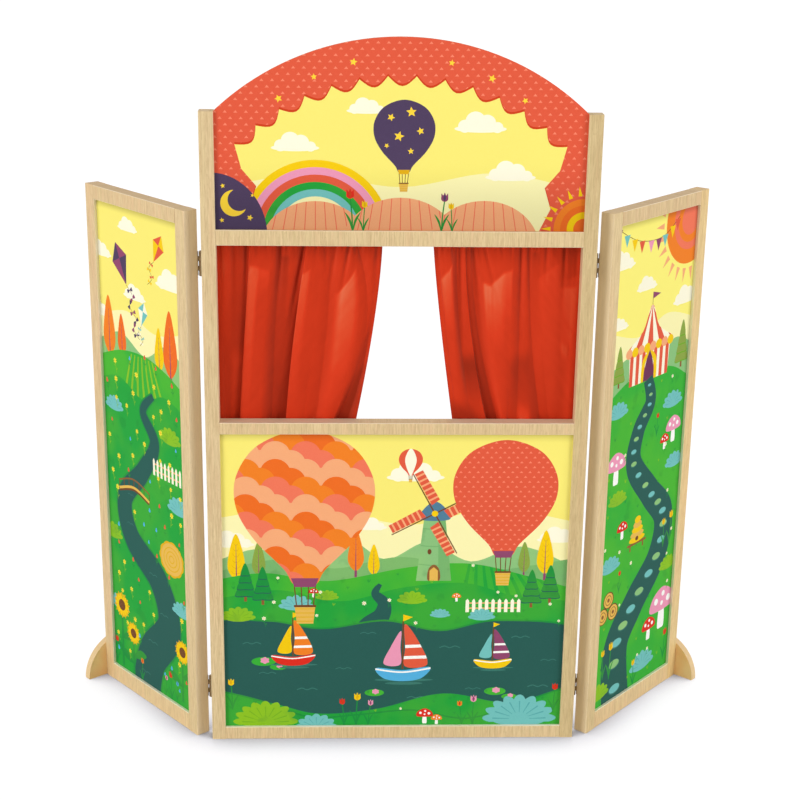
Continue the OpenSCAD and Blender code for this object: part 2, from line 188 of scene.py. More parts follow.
class Finish(Graph):
    """A material for one kind of surface."""

    def __init__(self, name):
        self.material = bpy.data.materials.new(name)
        self.material.use_nodes = True
        super().__init__(self.material.node_tree)

    def place(self):
        return self.node("ShaderNodeTexCoord", output="Object")

    def squared(self, turn, shift=0.0):
        """The place and direction of the surface, squared up with a turned wing."""
        spin = (0, 0, -turn)
        place = {"Vector": self.place(), "Location": (shift, 0, 0), "Rotation": spin}
        facing = {"Vector": self.node("ShaderNodeTexCoord", output="Normal"), "Rotation": spin}
        place = self.node("ShaderNodeMapping", {}, place)
        return place, self.node("ShaderNodeMapping", {"vector_type": "NORMAL"}, facing)

    def surface(self, base, roughness, height=None, relief=0.0002, **constants):
        """Ends the material in one shader. Constants are named as on its sockets, with _ for a space."""
        inputs = {"Base Color": base, "Roughness": roughness}
        inputs.update({name.replace("_", " "): value for name, value in constants.items()})
        if height is not None:
            inputs["Normal"] = self.node("ShaderNodeBump", {}, {"Height": height, "Distance": relief})
        shader = self.node("ShaderNodeBsdfPrincipled", {}, inputs)
        self.node("ShaderNodeOutputMaterial", {}, {"Surface": shader})
        return self.material


class Recipe(Graph):
    """A Geometry Nodes tree with named sizes, which makes a plain mesh from a mesh."""

    def __init__(self, name, **sizes):
        super().__init__(bpy.data.node_groups.new(name, "GeometryNodeTree"))
        sockets = self.tree.interface
        sockets.new_socket("Geometry", in_out="OUTPUT", socket_type="NodeSocketGeometry")
        sockets.new_socket("Geometry", in_out="INPUT", socket_type="NodeSocketGeometry")
        for size, usual in sizes.items():
            kind = "NodeSocketInt" if isinstance(usual, int) else "NodeSocketFloat"
            sockets.new_socket(size, in_out="INPUT", socket_type=kind).default_value = usual
        self.start = self.node("NodeGroupInput")

    def end(self, geometry, material):
        real = self.node("GeometryNodeRealizeInstances", {}, {"Geometry": geometry})
        done = self.node("GeometryNodeSetMaterial", {}, {"Geometry": real, "Material": material})
        self.node("NodeGroupOutput", {}, {"Geometry": done})

    def make(self, name, mesh, **sizes):
        """A new object with the mesh that the tree makes at these sizes."""
        made = add_object(name, mesh)
        maker = made.modifiers.new(name, "NODES")
        maker.node_group = self.tree
        for socket in self.tree.interface.items_tree:
            if socket.in_out == "INPUT" and socket.name in sizes:
                maker[socket.identifier] = sizes[socket.name]
        shape = bpy.data.meshes.new_from_object(made.evaluated_get(bpy.context.evaluated_depsgraph_get()))
        made.modifiers.remove(maker)
        made.data = shape
        return made


# Finishes


# Some of these colours are painted light and shade: the tint of the sides and the tint of the side that a board or
# the curtains lie against are painted light, the tint of the tops is painted shade, and the tint of level edges is
# a painted highlight
BEECH = {"light": (238, 211, 163), "dark": (204, 172, 124), "pink": (236, 196, 150), "straw": (226, 204, 146),
         "fleck": (172, 134, 84), "side": (234, 214, 182), "top": (190, 154, 104), "painted_edge_highlight": (255, 242, 216),
         "pale": (255, 246, 224)}
PLY = 0.0026


def beech(name, turn, tone, shift, pale=(0, 0), bare=None):
    """Clear-lacquered beech with its figure upright.

    Turn squares the pattern up with a turned wing. Tone makes the stick a little darker or warmer than the
    palest one, and shift gives it grain of its own. The pair after shift points across and up to the side that
    the board or the curtains lie against, which is painted paler, as painted light over the shade and the red
    light from the curtains that fall there, and bare is the middle and half the length of a stretch that they
    leave open, where none is painted.
    """
    finish = Finish(name)
    shades = {
        part: colour(*[min(level * share, 255) for level, share in zip(tint, tone)])
        for part, tint in BEECH.items()
    }
    place, facing = finish.squared(turn, shift)
    across, deep, high = finish.parts(place)
    nx, ny, nz = finish.parts(facing)
    # On a top face the figure runs from front to back, as it shows there in the photograph
    lying = abs(nz).between(0.6, 0.9)
    along = high + lying * (deep - high)
    beside = deep + lying * (high - deep)
    grain = finish.node("ShaderNodeCombineXYZ", {}, {"X": across, "Y": beside, "Z": along})
    figure = finish.noise(grain, 1, 3, 0.6, stretch=(340, 340, 15))
    bands = finish.noise(grain, 1, 2, 0.5, stretch=(70, 70, 2.8))
    streaks = finish.noise(grain, 1, 2, 0.6, stretch=(720, 720, 44))
    drift = finish.noise(grain, 1, 1, 0.5, stretch=(90, 90, 5))
    flecks = finish.noise(grain, 1, 0, 0.5, stretch=(900, 900, 150)).between(0.66, 0.74)
    shade = (figure * 0.42 + bands * 0.12 + streaks * 0.46).between(0.27, 0.68)
    wood = finish.mix(shade, shades["dark"], shades["light"])
    # Between the figure the wood leans now towards pink, now towards straw
    wood = finish.mix(drift.between(0.52, 0.68) * 0.3, wood, shades["pink"])
    wood = finish.mix((1 - drift).between(0.54, 0.7) * 0.2, wood, shades["straw"])
    wood = finish.mix(flecks * 0.2, wood, shades["fleck"])
    # The sides are painted paler and greyer than the planed faces, as painted light
    wood = finish.mix(abs(nx).between(0.7, 0.95) * 0.6, wood, shades["side"])
    # Painted light: the side that the board or the curtains lie against is painted paler, over the shade and the
    # red light from the curtains that fall there, but not along the stretch that they leave open
    painted_light_share = (nx * pale[0] + nz * pale[1]).between(0.6, 0.9) * 0.9
    if bare:
        middle, half = bare
        painted_light_share = painted_light_share * abs(finish.parts(finish.place())[0] - middle).between(half - 0.008, half + 0.008)
    wood = finish.mix(painted_light_share, wood, shades["pale"])
    # Painted shade: the tops are darker
    wood = finish.mix(lying * high.between(0.5, 0.54) * 0.5, wood, shades["top"])
    # The rounded edges that lie level get a painted highlight, paler than the flats, the upright ones hardly any
    edge = 1 - abs(nx).larger(abs(ny)).larger(abs(nz)).between(0.80, 0.97)
    wood = finish.mix(edge * (0.12 + abs(nz).between(0.2, 0.5) * 0.88), wood, shades["painted_edge_highlight"])
    rough = 0.5 - streaks * 0.1 + lying * 0.2
    relief = figure * 0.5 + flecks * -0.6
    return finish.surface(wood, rough, relief, 0.00008, Coat_Weight=(1 - lying) * 0.12, Coat_Roughness=0.35)


def plywood(turn, tone):
    """Birch plywood of the feet: plain faces, and thin plies along the cut edge."""
    finish = Finish("birch_plywood")
    place, facing = finish.squared(turn)
    face = abs(finish.parts(facing)[0]).between(0.6, 0.85)
    figure = finish.noise(place, 1, 3, 0.55, stretch=(60, 14, 14))
    plies = (finish.parts(place)[0] * (2 * math.pi / PLY)).wave().between(-0.2, 0.5)
    tints = [[min(level * tone, 255) for level in tint] for tint in ((240, 192, 126), (248, 208, 146))]
    dark, light = [colour(*tint) for tint in tints]
    wood = finish.mix(figure.between(0.35, 0.65), dark, light)
    edge = finish.mix(plies * 0.4, colour(240, 208, 154), colour(208, 164, 108))
    wood = finish.mix(face, edge, wood)
    return finish.surface(wood, 0.5, figure, 0.00006, Coat_Weight=0.1, Coat_Roughness=0.4)


def board_back():
    """Raw pale hardboard on the backs of the printed boards."""
    finish = Finish("raw_board")
    place = finish.place()
    fibres = finish.noise(place, 700, 3, 0.7)
    clouds = finish.noise(place, 5, 1, 0.5)
    across, deep, high = finish.parts(place)
    # The press leaves the weave of its screen on this side
    weave = ((across + deep) * 2600).wave() * (high * 2600).wave()
    tint = finish.mix(clouds, colour(202, 172, 130), colour(212, 184, 144))
    tint = finish.mix(fibres.between(0.5, 0.75) * 0.3, tint, colour(166, 132, 94))
    return finish.surface(tint, 0.78, fibres * 0.4 + weave * 0.3, 0.0002)


def metal(name, tint, worn, rough):
    """Stamped or drawn metal with faint handling marks."""
    finish = Finish(name)
    marks = finish.noise(finish.place(), 240, 3, 0.6)
    drawn = finish.noise(finish.place(), 1, 2, 0.5, stretch=(60, 3200, 3200))
    base = finish.mix(marks.between(0.35, 0.7), colour(*tint), colour(*worn))
    return finish.surface(base, rough + marks * 0.16, drawn, 0.00002, Metallic=1.0)


def moulded():
    """White moulded plastic of the rod brackets."""
    finish = Finish("white_plastic")
    grain = finish.noise(finish.place(), 1500, 1, 0.5)
    cloudy = finish.noise(finish.place(), 60, 1, 0.5)
    base = finish.mix(cloudy, colour(226, 224, 216), colour(236, 235, 229))
    return finish.surface(base, 0.34 + grain * 0.1, grain, 0.00003)


def turned_dowel():
    """Plain fluted beech dowel."""
    finish = Finish("dowel_beech")
    fibres = finish.noise(finish.place(), 1, 2, 0.6, stretch=(90, 700, 700))
    wood = finish.mix(fibres, colour(206, 172, 122), colour(226, 196, 148))
    return finish.surface(wood, 0.62, fibres, 0.00008)


def printed_ink(name, matrix=None, size=None, painted_shade=()):
    """Ink printed on the boards under a matt film. Its colour is kept on the shapes themselves.

    The last argument is painted shade, which dims the print beside the wood around it where the frame's shadow
    would fall: by how much, and how far in from the left, the right, the foot and the top of a panel of this size.
    """
    finish = Finish(name)
    ink = finish.node("ShaderNodeAttribute", {"attribute_name": "ink"}, output="Color")
    place = finish.place()
    grain = finish.noise(place, 620, 2, 0.7)
    wash = finish.noise(place, 11, 2, 0.5)
    tinted = finish.mix(grain.between(0.3, 0.7) * 0.10, ink, colour(255, 255, 255), "SOFT_LIGHT")
    # Greens drift between lime and deep green, as if sprayed
    split = finish.node("ShaderNodeSeparateColor", {}, {"Color": ink})
    red, green, blue = split, split.output("Green"), split.output("Blue")
    grassy = (green - red.larger(blue)).between(0.04, 0.22)
    sprayed = finish.mix(wash.between(0.40, 0.62), colour(40, 164, 62), colour(92, 182, 48))
    tinted = finish.mix(grassy * 0.35, tinted, sprayed)
    spots = finish.noise(place, 34, 2, 0.5).between(0.60, 0.72)
    tinted = finish.mix(grassy * spots * 0.22, tinted, colour(30, 120, 50))
    # Painted shade on the print beside the frame, darkest at its edges
    if painted_shade:
        across, corner = matrix.col[0], matrix.translation
        x, y, z = finish.parts(place)
        along = x * across.x + y * across.y - (corner.x * across.x + corner.y * across.y)
        up = z - corner.z
        shade = 0
        wide, high = size[0] * MM, size[1] * MM
        for gap, (depth, reach) in zip((along, wide - along, up, high - up), painted_shade):
            shade = shade + (1 - gap.between(0, reach)) * depth
        tinted = finish.mix(shade, tinted, (0, 0, 0, 1))
    return finish.surface(tinted, 0.55 + grain * 0.1, grain, 0.00001, Specular_IOR_Level=0.1)


def satin():
    """Red polyester satin: close warp threads that catch the light down the cloth. Its red carries painted light
    and shade.
    """
    finish = Finish("red_satin")
    cloth = finish.node("ShaderNodeUVMap", {"uv_map": "cloth"})
    warp = finish.noise(cloth, 1, 2, 0.6, stretch=(2600, 90, 1))
    weft = finish.noise(cloth, 1, 1, 0.5, stretch=(120, 1900, 1))
    slub = finish.noise(cloth, 34, 2, 0.5)
    # Painted light and shade, kept on each point of the cloth, sets the red: deep in painted shade, salmon in
    # painted highlights
    lustre = finish.node("ShaderNodeAttribute", {"attribute_name": "lustre"}, output="Fac")
    tones = [(0.0, colour(120, 32, 15)), (0.3, colour(166, 43, 22)), (0.52, colour(197, 51, 24)),
             (0.72, colour(217, 60, 31)), (0.86, colour(223, 79, 46)), (1.0, colour(226, 106, 71))]
    level = lustre + slub * 0.08 + warp * 0.05 - 0.065
    red = finish.node("ShaderNodeValToRGB", {"stops": tones}, {"Fac": level})
    relief = warp * 0.7 + weft * 0.3
    tint = colour(255, 130, 90)
    return finish.surface(red, 0.4 + warp * 0.12, relief, 0.00003, Specular_IOR_Level=0.4, Specular_Tint=tint)


def thread(name, tint):
    """Sewing thread with its twist."""
    finish = Finish(name)
    twist = (finish.parts(finish.place())[0] * 9000).wave()
    return finish.surface(finish.mix(twist.between(-1, 1) * 0.4, colour(*tint), colour(90, 12, 8)), 0.6)


FINISHES = {
    "brass": metal("dull_brass", (160, 138, 104), (134, 112, 80), 0.62),
    "steel": metal("zinc_steel", (196, 198, 202), (168, 170, 176), 0.26),
    "bracket": moulded(),
    "board": board_back(),
    "dowel": turned_dowel(),
    "print": printed_ink("printed_ink"),
    "satin": satin(),
    "thread": thread("red_thread", (190, 34, 22)),
}
# How much of each colour every stick of wood has, next to the palest
WOOD_TONES = {
    "left_post": (0.975, 0.98, 0.975), "right_post": (0.925, 0.925, 0.88), "top_rail": (0.975, 0.975, 0.96),
    "middle_rail": (0.98, 0.975, 0.96), "bottom_rail": (0.985, 0.985, 0.98),
    "left_inner_stile": (0.99, 0.99, 0.97), "left_outer_stile": (0.99, 0.975, 0.955),
    "left_wing_top_rail": (0.985, 0.975, 0.95), "left_wing_bottom_rail": (1.03, 1.02, 1.0),
    "right_inner_stile": (0.99, 0.99, 0.96), "right_outer_stile": (1.03, 1.01, 0.92),
    "right_wing_top_rail": (0.98, 0.965, 0.94), "right_wing_bottom_rail": (1.03, 1.015, 0.99),
}
# How far apart in the pattern of the grain two sticks are cut
GRAIN_STEP = 0.31
# The stretch of the middle rail between the curtains: its middle, and half its length
SILL_OPEN = (0.0107, 0.074)
# The finish of every other CAD node but the feet, from the end of its name
FITTINGS = {
    "screws": "steel", "rod": "steel", "leaf": "brass", "pins": "brass", "bracket": "bracket",
    "dowels": "dowel", "panel": "board",
}


def finish_wood():
    """A finish for each stick of wood and each foot."""
    bodies = frame["record"]["behaviour"]["bodies"]
    for side, body in ((0, "centre_frame"), (-1, "left_wing"), (1, "right_wing")):
        lean = wing_turn(side)[0] * side if side else 0
        for node in bodies[body]:
            if node in WOOD_TONES:
                shift = GRAIN_STEP * list(WOOD_TONES).index(node)
                # Painted light goes on the outer stiles' walls beside the board, and on the tops of the rails
                # under the boards and the curtains
                covered = "bottom_rail" in node or node == "middle_rail"
                pale = (-side, 0) if "outer" in node else (0, 1 if covered else 0)
                bare = SILL_OPEN if node == "middle_rail" else None
                FINISHES[node] = beech("beech_" + node, lean, WOOD_TONES[node], shift, pale, bare)
        if side:
            FINISHES[body + "_foot"] = plywood(lean, tone=1.06)


def finish_of(node, body):
    """The finish of a CAD node, from what its name says it is."""
    kind = node.split("_")[-1]
    return FINISHES[body + "_foot" if kind == "foot" else FITTINGS.get(kind, node)]


def dress_frame():
    """Gives every CAD node that stays its finish. The curtains are replaced later."""
    finish_wood()
    for body, members in frame["record"]["behaviour"]["bodies"].items():
        for node in members:
            if not node.endswith("curtain"):
                slots = frame["nodes"][node].data.materials
                slots.clear()
                slots.append(finish_of(node, body))


# Outlines for the prints, as lists of points in millimetres


def ellipse(x, y, wide, high=None, turn=0.0, count=32):
    high = wide if high is None else high
    tilt = Matrix.Rotation(math.radians(turn), 2)
    angles = [2 * math.pi * step / count for step in range(count)]
    return [Vector((x, y)) + tilt @ Vector((wide * math.cos(a), high * math.sin(a))) for a in angles]


def smooth(knots, steps=7, closed=True):
    """A soft curve through a few knots, closed into an outline or open as a line."""
    knots = [Vector(knot) for knot in knots]
    ring = [knots[-1], *knots, knots[0], knots[1]] if closed else [knots[0], *knots, knots[-1]]
    line = []
    for before, start, end, after in zip(ring, ring[1:], ring[2:], ring[3:]):
        for step in range(steps):
            t = step / steps
            bend = (2 * before - 5 * start + 4 * end - after) * t * t
            twist = (3 * start - before - 3 * end + after) * t ** 3
            line.append(0.5 * (2 * start + (end - before) * t + bend + twist))
    return line if closed else line + [knots[-1]]


def ribbon(knots, start, end=None, steps=7):
    """A stroke along a soft line, as wide as start at one end and as end at the other."""
    line = smooth(knots, steps, closed=False)
    end = start if end is None else end
    near, far = [], []
    for index, point in enumerate(line):
        ahead = line[min(index + 1, len(line) - 1)] - line[max(index - 1, 0)]
        half = (start + (end - start) * index / (len(line) - 1)) / 2
        beside = Vector((-ahead.y, ahead.x)).normalized() * half
        near.append(point + beside)
        far.append(point - beside)
    return near + far[::-1]


def lobed(x, y, wide, high, lobes, swell=0.12, first=0, last=360, steps=6):
    """An ellipse whose edge is a row of round lobes, or a fan of them between two angles."""
    outline = []
    for step in range(lobes * steps + 1):
        angle = math.radians(first + (last - first) * step / (lobes * steps))
        reach = 1 + swell * math.sin(math.pi * (step % steps) / steps)
        outline.append(Vector((x + wide * reach * math.cos(angle), y + high * reach * math.sin(angle))))
    return outline[:-1] if last - first == 360 else outline


def moved(outline, x, y, size=1.0, turn=0.0):
    """A motif drawn about its own origin, put in its place."""
    tilt = Matrix.Rotation(math.radians(turn), 2)
    return [Vector((x, y)) + tilt @ (Vector(point) * size) for point in outline]


def spread(x, y, wide, points, high=None):
    """Points in shares of a motif's width and height, put in their place."""
    high = wide if high is None else high
    return [(x + across * wide, y + up * high) for across, up in points]


INKS = {
    "sky": (251, 236, 118), "noon": (255, 243, 123), "haze": (253, 245, 178), "cloud": (255, 250, 222),
    "coral": (227, 90, 62), "blush": (244, 132, 102), "salmon": (242, 118, 88), "orange": (243, 128, 36),
    "peach": (247, 170, 120),
    "tangerine": (239, 108, 34), "grass": (30, 160, 58), "meadow": (62, 180, 52), "leaf": (22, 132, 62),
    "lagoon": (40, 90, 82), "ripple": (60, 118, 106), "mist": (166, 206, 146), "sage": (142, 186, 126),
    "slate": (80, 124, 150), "teal": (114, 192, 188), "shade_teal": (86, 166, 166), "lime": (160, 200, 24),
    "shade_lime": (128, 174, 20), "sun": (247, 202, 12), "gold": (226, 172, 20), "plum": (142, 70, 106),
    "shade_plum": (112, 52, 86), "bark": (142, 92, 50), "shade_bark": (112, 68, 38), "rose": (238, 152, 182),
    "night": (78, 62, 92), "star": (255, 214, 60), "olive": (142, 162, 70), "scarlet": (222, 44, 30),
    "white": (255, 254, 248), "butter": (253, 232, 62), "blue": (84, 176, 224), "straw": (232, 184, 84),
    "ember": (206, 62, 26),
}
TREE_SHADES = {
    "sun": "gold", "olive": "shade_lime", "orange": "tangerine", "tangerine": "orange", "leaf": "lagoon",
}
BLOOM_SHADES = {
    "scarlet": "ember", "sun": "gold", "rose": "plum", "orange": "ember", "blue": "slate", "plum": "night",
}
# How far a printed sheet runs on into the grooves
MARGIN = 3


class Artwork:
    """Shapes printed on one board, each over the ones before it, some kept inside an earlier one."""

    def __init__(self, edge, ground="sky"):
        self.shapes = [(ground, [Vector(point) for point in edge], None)]

    def paint(self, ink, outline, inside=None):
        outline = [Vector(point) for point in outline]
        pairs = zip(outline, outline[1:] + outline[:1])
        if sum(a.x * b.y - b.x * a.y for a, b in pairs) < 0:
            outline.reverse()
        self.shapes.append((ink, outline, inside))
        return len(self.shapes) - 1

    def at(self, x, y, size=1.0, turn=0.0):
        """Paints as paint does, with outlines drawn about a motif's own origin."""
        return lambda ink, outline, inside=None: self.paint(ink, moved(outline, x, y, size, turn), inside)

    def ground(self, ink, *skyline, inside=None):
        """Ground under a soft skyline, down to the foot of the panel."""
        line = smooth(skyline, closed=False)
        return self.paint(ink, line + [(line[-1].x, -MARGIN), (line[0].x, -MARGIN)], inside)

    def every(self, motif, *rows):
        """Draws a motif once for each row of places, sizes and inks."""
        for row in rows:
            motif(self, *row)

    def shows(self, index, under):
        inside = self.shapes[index][2]
        return index in under and (inside is None or self.shows(inside, under))

    def cut(self, edge=None):
        """The print as triangles that don't overlap: their corners, and the ink that shows on each."""
        outlines = [[Vector(point) for point in edge] if edge else self.shapes[0][1]]
        outlines += [outline for _, outline, _ in self.shapes[1:]]
        corners = [point for outline in outlines for point in outline]
        loops, start = [], 0
        for outline in outlines:
            loops.append(list(range(start, start + len(outline))))
            start += len(outline)
        points, _, faces, _, _, under = delaunay_2d_cdt(corners, [], loops, 1, 1e-4)
        kept = [(face, set(below)) for face, below in zip(faces, under) if 0 in below]
        inks = [self.shapes[max(i for i in below if self.shows(i, below))][0] for _, below in kept]
        return points, [face for face, _ in kept], inks


# Motifs of the prints


def cloud(art, x, y, width):
    """A flat-footed cloud, x and y at its left foot."""
    for along, up, radius in ((0.2, 0.1, 0.13), (0.4, 0.2, 0.19), (0.62, 0.16, 0.17), (0.82, 0.08, 0.11)):
        art.paint("cloud", ellipse(x + along * width, y + up * width, radius * width, radius * width * 0.95))
    art.paint("cloud", ellipse(x + width / 2, y + 0.05 * width, width / 2, 0.07 * width))


def triangles(art, home, box, size):
    """A staggered pattern of small triangles inside a shape."""
    left, right, low, high = box
    for row in range(int((high - low) / (1.5 * size)) + 1):
        y = low + row * 1.5 * size
        for column in range(int((right - left) / (2.5 * size)) + 1):
            x = left + (column + 0.5 * (row % 2)) * 2.5 * size
            art.paint("blush", spread(x, y, size, [(-0.5, 0), (0.5, 0), (0, 0.6)]), home)


def scales(art, home, box, radius, inks):
    """Rows of round scales inside a shape, each row lapped by the one below it."""
    left, right, low, high = box
    for row in range(int((high - low) / (0.62 * radius)) + 2):
        y = high - row * 0.62 * radius
        for column in range(int((right - left) / (2 * radius)) + 2):
            x = left + (2 * column + row % 2) * radius
            art.paint(inks[(3 * row + 2 * column) % len(inks)], ellipse(x, y, radius * 1.01), home)


def balloon(art, x, y, radius, ink):
    """A hot-air balloon about the middle of its bag. Returns the bag, for a pattern inside it."""
    for side in (-1, -0.35, 0.35, 1):
        strand = spread(x, y, radius, [(side * 0.16, -1.3), (side * 0.12, -1.72)])
        art.paint("shade_bark", ribbon(strand, radius * 0.012 + 0.5, steps=1))
    basket = [(-0.15, -1.7), (0.15, -1.7), (0.12, -1.98), (-0.12, -1.98)]
    crate = art.paint("straw", spread(x, y, radius, basket))
    for row in range(4):
        level = 0.065 * row - 1.94
        weave = spread(x, y, radius, [(-0.2, level), (0.2, level)])
        art.paint("gold", ribbon(weave, radius * 0.014, steps=1), crate)
    rim = spread(x, y, radius, [(-0.16, -1.7), (0.16, -1.7)])
    art.paint("shade_bark", ribbon(rim, radius * 0.035, steps=1))
    half = [(0.15, -1.36), (0.30, -1.12), (0.72, -0.66), (0.97, -0.18), (0.96, 0.32), (0.64, 0.78)]
    return art.at(x, y, radius)(ink, smooth([*half, (0, 1.0), *[(-a, b) for a, b in half[::-1]]]))


def skirt(art, x, y, radius, ink):
    """The band at a balloon's mouth."""
    art.paint(ink, spread(x, y, radius, [(-0.2, -1.26), (0.2, -1.26), (0.15, -1.4), (-0.15, -1.4)]))


def gores(art, home, x, y, radius, inks):
    """Upright stripes of a balloon, narrower to its sides."""
    for index, ink in enumerate(inks):
        wide = 1 - 2 * index / len(inks)
        bulge = [(-wide * 0.12, -1.4), (-wide * 0.97, 0), (0, 1.04), (wide * 0.97, 0), (wide * 0.12, -1.4)]
        art.paint(ink, smooth(spread(x, y, radius, bulge)), home)


def windmill(art, x, y, size):
    """A tower mill with four latticed sails, x and y at the middle of its foot."""
    draw = art.at(x, y, size)
    tower = draw("mist", [(-0.19, 0), (0.19, 0), (0.115, 0.72), (-0.115, 0.72)])
    draw("sage", [(0.05, 0), (0.19, 0), (0.115, 0.72), (0.04, 0.72)], tower)
    for level in (0.2, 0.42, 0.62):
        draw("sage", ribbon([(-0.2, level), (0, level - 0.02), (0.2, level)], 0.012), tower)
    draw("bark", smooth([(0.06, 0), (0.06, 0.13), (0, 0.19), (-0.06, 0.13), (-0.06, 0)]), tower)
    draw("straw", [(-0.045, 0), (0.045, 0), (0.045, 0.12), (0, 0.16), (-0.045, 0.12)], tower)
    for side, level in ((-0.05, 0.34), (0.06, 0.5)):
        draw("shade_bark", ellipse(side, level, 0.022, 0.032, count=14))
    draw("slate", smooth([(-0.15, 0.71), (-0.13, 0.82), (0, 0.92), (0.13, 0.82), (0.15, 0.71)]))
    hub = Vector((x, y + 0.78 * size))
    for turn in (28, 118, 208, 298):
        draw = art.at(*hub, size, turn)
        draw("shade_bark", [(-0.008, 0), (0.008, 0), (0.006, 0.52), (-0.006, 0.52)])
        sail = draw("coral", [(0.012, 0.1), (0.12, 0.12), (0.11, 0.5), (0.012, 0.5)])
        for bar in range(6):
            level = 0.15 + 0.06 * bar
            draw("peach", [(0, level), (0.13, level), (0.13, level + 0.02), (0, level + 0.02)], sail)
    art.paint("sun", ellipse(*hub, 0.035 * size, count=18))


def boat(art, x, y, size, hull, front_sail, main_sail):
    """A small sailing boat, x and y at the middle of its waterline."""
    draw = art.at(x, y, size)
    for level, reach in ((-0.16, 0.62), (-0.24, 0.4)):
        draw("ripple", ellipse(0.03, level, reach, 0.035))
    draw("shade_bark", [(-0.02, 0.1), (0.02, 0.1), (0.014, 1.22), (-0.014, 1.22)])
    sheet = draw(main_sail, smooth([(0.05, 0.16), (0.05, 0.6), (0.04, 1.14), (0.34, 0.72), (0.52, 0.2)]))
    for level in (0.36, 0.62):
        draw("white", ribbon([(0, level), (0.6, level + 0.02)], 0.07, steps=1), sheet)
    draw(front_sail, smooth([(-0.05, 0.2), (-0.05, 0.6), (-0.045, 0.98), (-0.26, 0.6), (-0.4, 0.22)]))
    draw("sun", [(0.0, 1.2), (0.0, 1.36), (0.2, 1.3)])
    knots = [(-0.56, 0.12), (-0.4, -0.12), (0, -0.19), (0.4, -0.12), (0.58, 0.14), (0, 0.07)]
    body = draw(hull, smooth(knots))
    draw("white", ribbon([(-0.6, 0.1), (0, 0.02), (0.62, 0.12)], 0.035), body)


def poplar(art, x, y, height, ink):
    """A tall narrow tree, x and y at its foot."""
    art.paint("plum", ribbon([(x, y), (x, y + height * 0.4)], height * 0.05, steps=1))
    knots = [(0, 0.14), (-0.15, 0.34), (-0.11, 0.7), (0, 1), (0.11, 0.7), (0.15, 0.34)]
    crown = art.paint(ink, smooth(spread(x, y, height, knots)))
    for row in range(6):
        for side in (-1, 1):
            level = 0.24 + 0.11 * row
            reach = (0.09 - 0.008 * row) * side
            twig = spread(x, y, height, [(0, level), (reach * 0.6, level + 0.02), (reach, level + 0.07)])
            art.paint(TREE_SHADES[ink], ribbon(twig, height * 0.012, 0.3, 3), crown)
    art.paint("plum", ribbon([(x, y + height * 0.1), (x, y + height * 0.8)], height * 0.022, 0.4, steps=1))


def conifer(art, x, y, height, ink):
    """A stepped fir, x and y at its foot."""
    art.paint("bark", ribbon([(x, y), (x, y + height * 0.3)], height * 0.07, steps=1))
    for tier in range(4):
        base = 0.16 + 0.19 * tier
        half = 0.27 - 0.05 * tier
        tip = base + 0.42 - 0.03 * tier
        for tint, wide, lift, sag in ((TREE_SHADES[ink], half, 0, 0.035), (ink, half * 0.96, 0.02, 0.01)):
            knots = [(-wide, base + lift), (0, base - sag), (wide, base + lift), (0, tip)]
            art.paint(tint, smooth(spread(x, y, height, knots), 4))


def bush(art, x, y, width, ink="teal", lobes=7):
    """A low bush of fanned lobes with its ribs, x and y at the middle of its foot."""
    foot = Vector((x, y))
    art.paint(ink, lobed(x, y, width * 0.46, width * 0.34, lobes, 0.22, -8, 188, 7))
    art.paint(ink, ellipse(x, y, width * 0.42, width * 0.12))
    for index in range(lobes):
        angle = math.radians(-8 + 196 * (index + 0.5) / lobes)
        tip = Vector((math.cos(angle) * width * 0.44, math.sin(angle) * width * 0.33))
        rib = ribbon([foot + tip * 0.35, foot + tip * 0.92], width * 0.008, width * 0.02, 1)
        art.paint("shade_" + ink, rib)


def tulip(art, x, y, height, ink, lean):
    """A tulip with two leaves, x and y at its foot."""
    head = Vector((x + lean, y + height))
    stem = [(x, y), (x + lean * 0.3, y + height * 0.5), head]
    art.paint("leaf", ribbon(stem, height * 0.045, height * 0.035))
    for side in (-1, 1):
        blade = [(0, 0), (side * 0.09, 0.28), (side * 0.22, 0.58), (side * 0.05, 0.36)]
        art.paint("leaf", smooth(spread(x, y, height, blade)))
    draw = art.at(*head, height * 0.2)
    cup = [(-0.5, 0.1), (-0.52, 0.62), (-0.48, 1.1), (-0.22, 0.78), (0, 1.22), (0.22, 0.78), (0.48, 1.1),
           (0.52, 0.62), (0.5, 0.1), (0, -0.2)]
    bloom = draw(ink, smooth(cup, 3))
    draw(BLOOM_SHADES[ink], smooth([(0, 0.95), (-0.2, 0.4), (0, -0.1), (0.2, 0.4)], 5), bloom)


def sunflower(art, x, y, height, size):
    """A sunflower on a leafy stem, x and y at its foot."""
    art.paint("leaf", ribbon([(x, y), (x + 2, y + height)], size * 0.13, size * 0.1, 2))
    for side, level in ((-1, 0.3), (1, 0.48)):
        leaf = [(0, 0), (side * 0.5, 0.42), (side * 0.95, 0.3), (side * 0.5, 0.02)]
        art.paint("leaf", smooth(spread(x, y + height * level, size, leaf)))
    head = (x + 2, y + height)
    for tip, ink, shift in ((0.98, "gold", 0.5), (0.86, "sun", 0)):
        petal = smooth([(0.3, 0), (0.6, 0.13), (tip, 0), (0.6, -0.13)], 4)
        for index in range(14):
            art.at(*head, size / 2, (index + shift) * 360 / 14)(ink, petal)
    art.paint("shade_bark", ellipse(*head, size * 0.2))
    for seed in range(9):
        angle, reach = seed * 2.4, size * 0.05 * math.sqrt(seed)
        place = (head[0] + reach * math.cos(angle), head[1] + reach * math.sin(angle))
        art.paint("bark", ellipse(*place, size * 0.016, count=8))


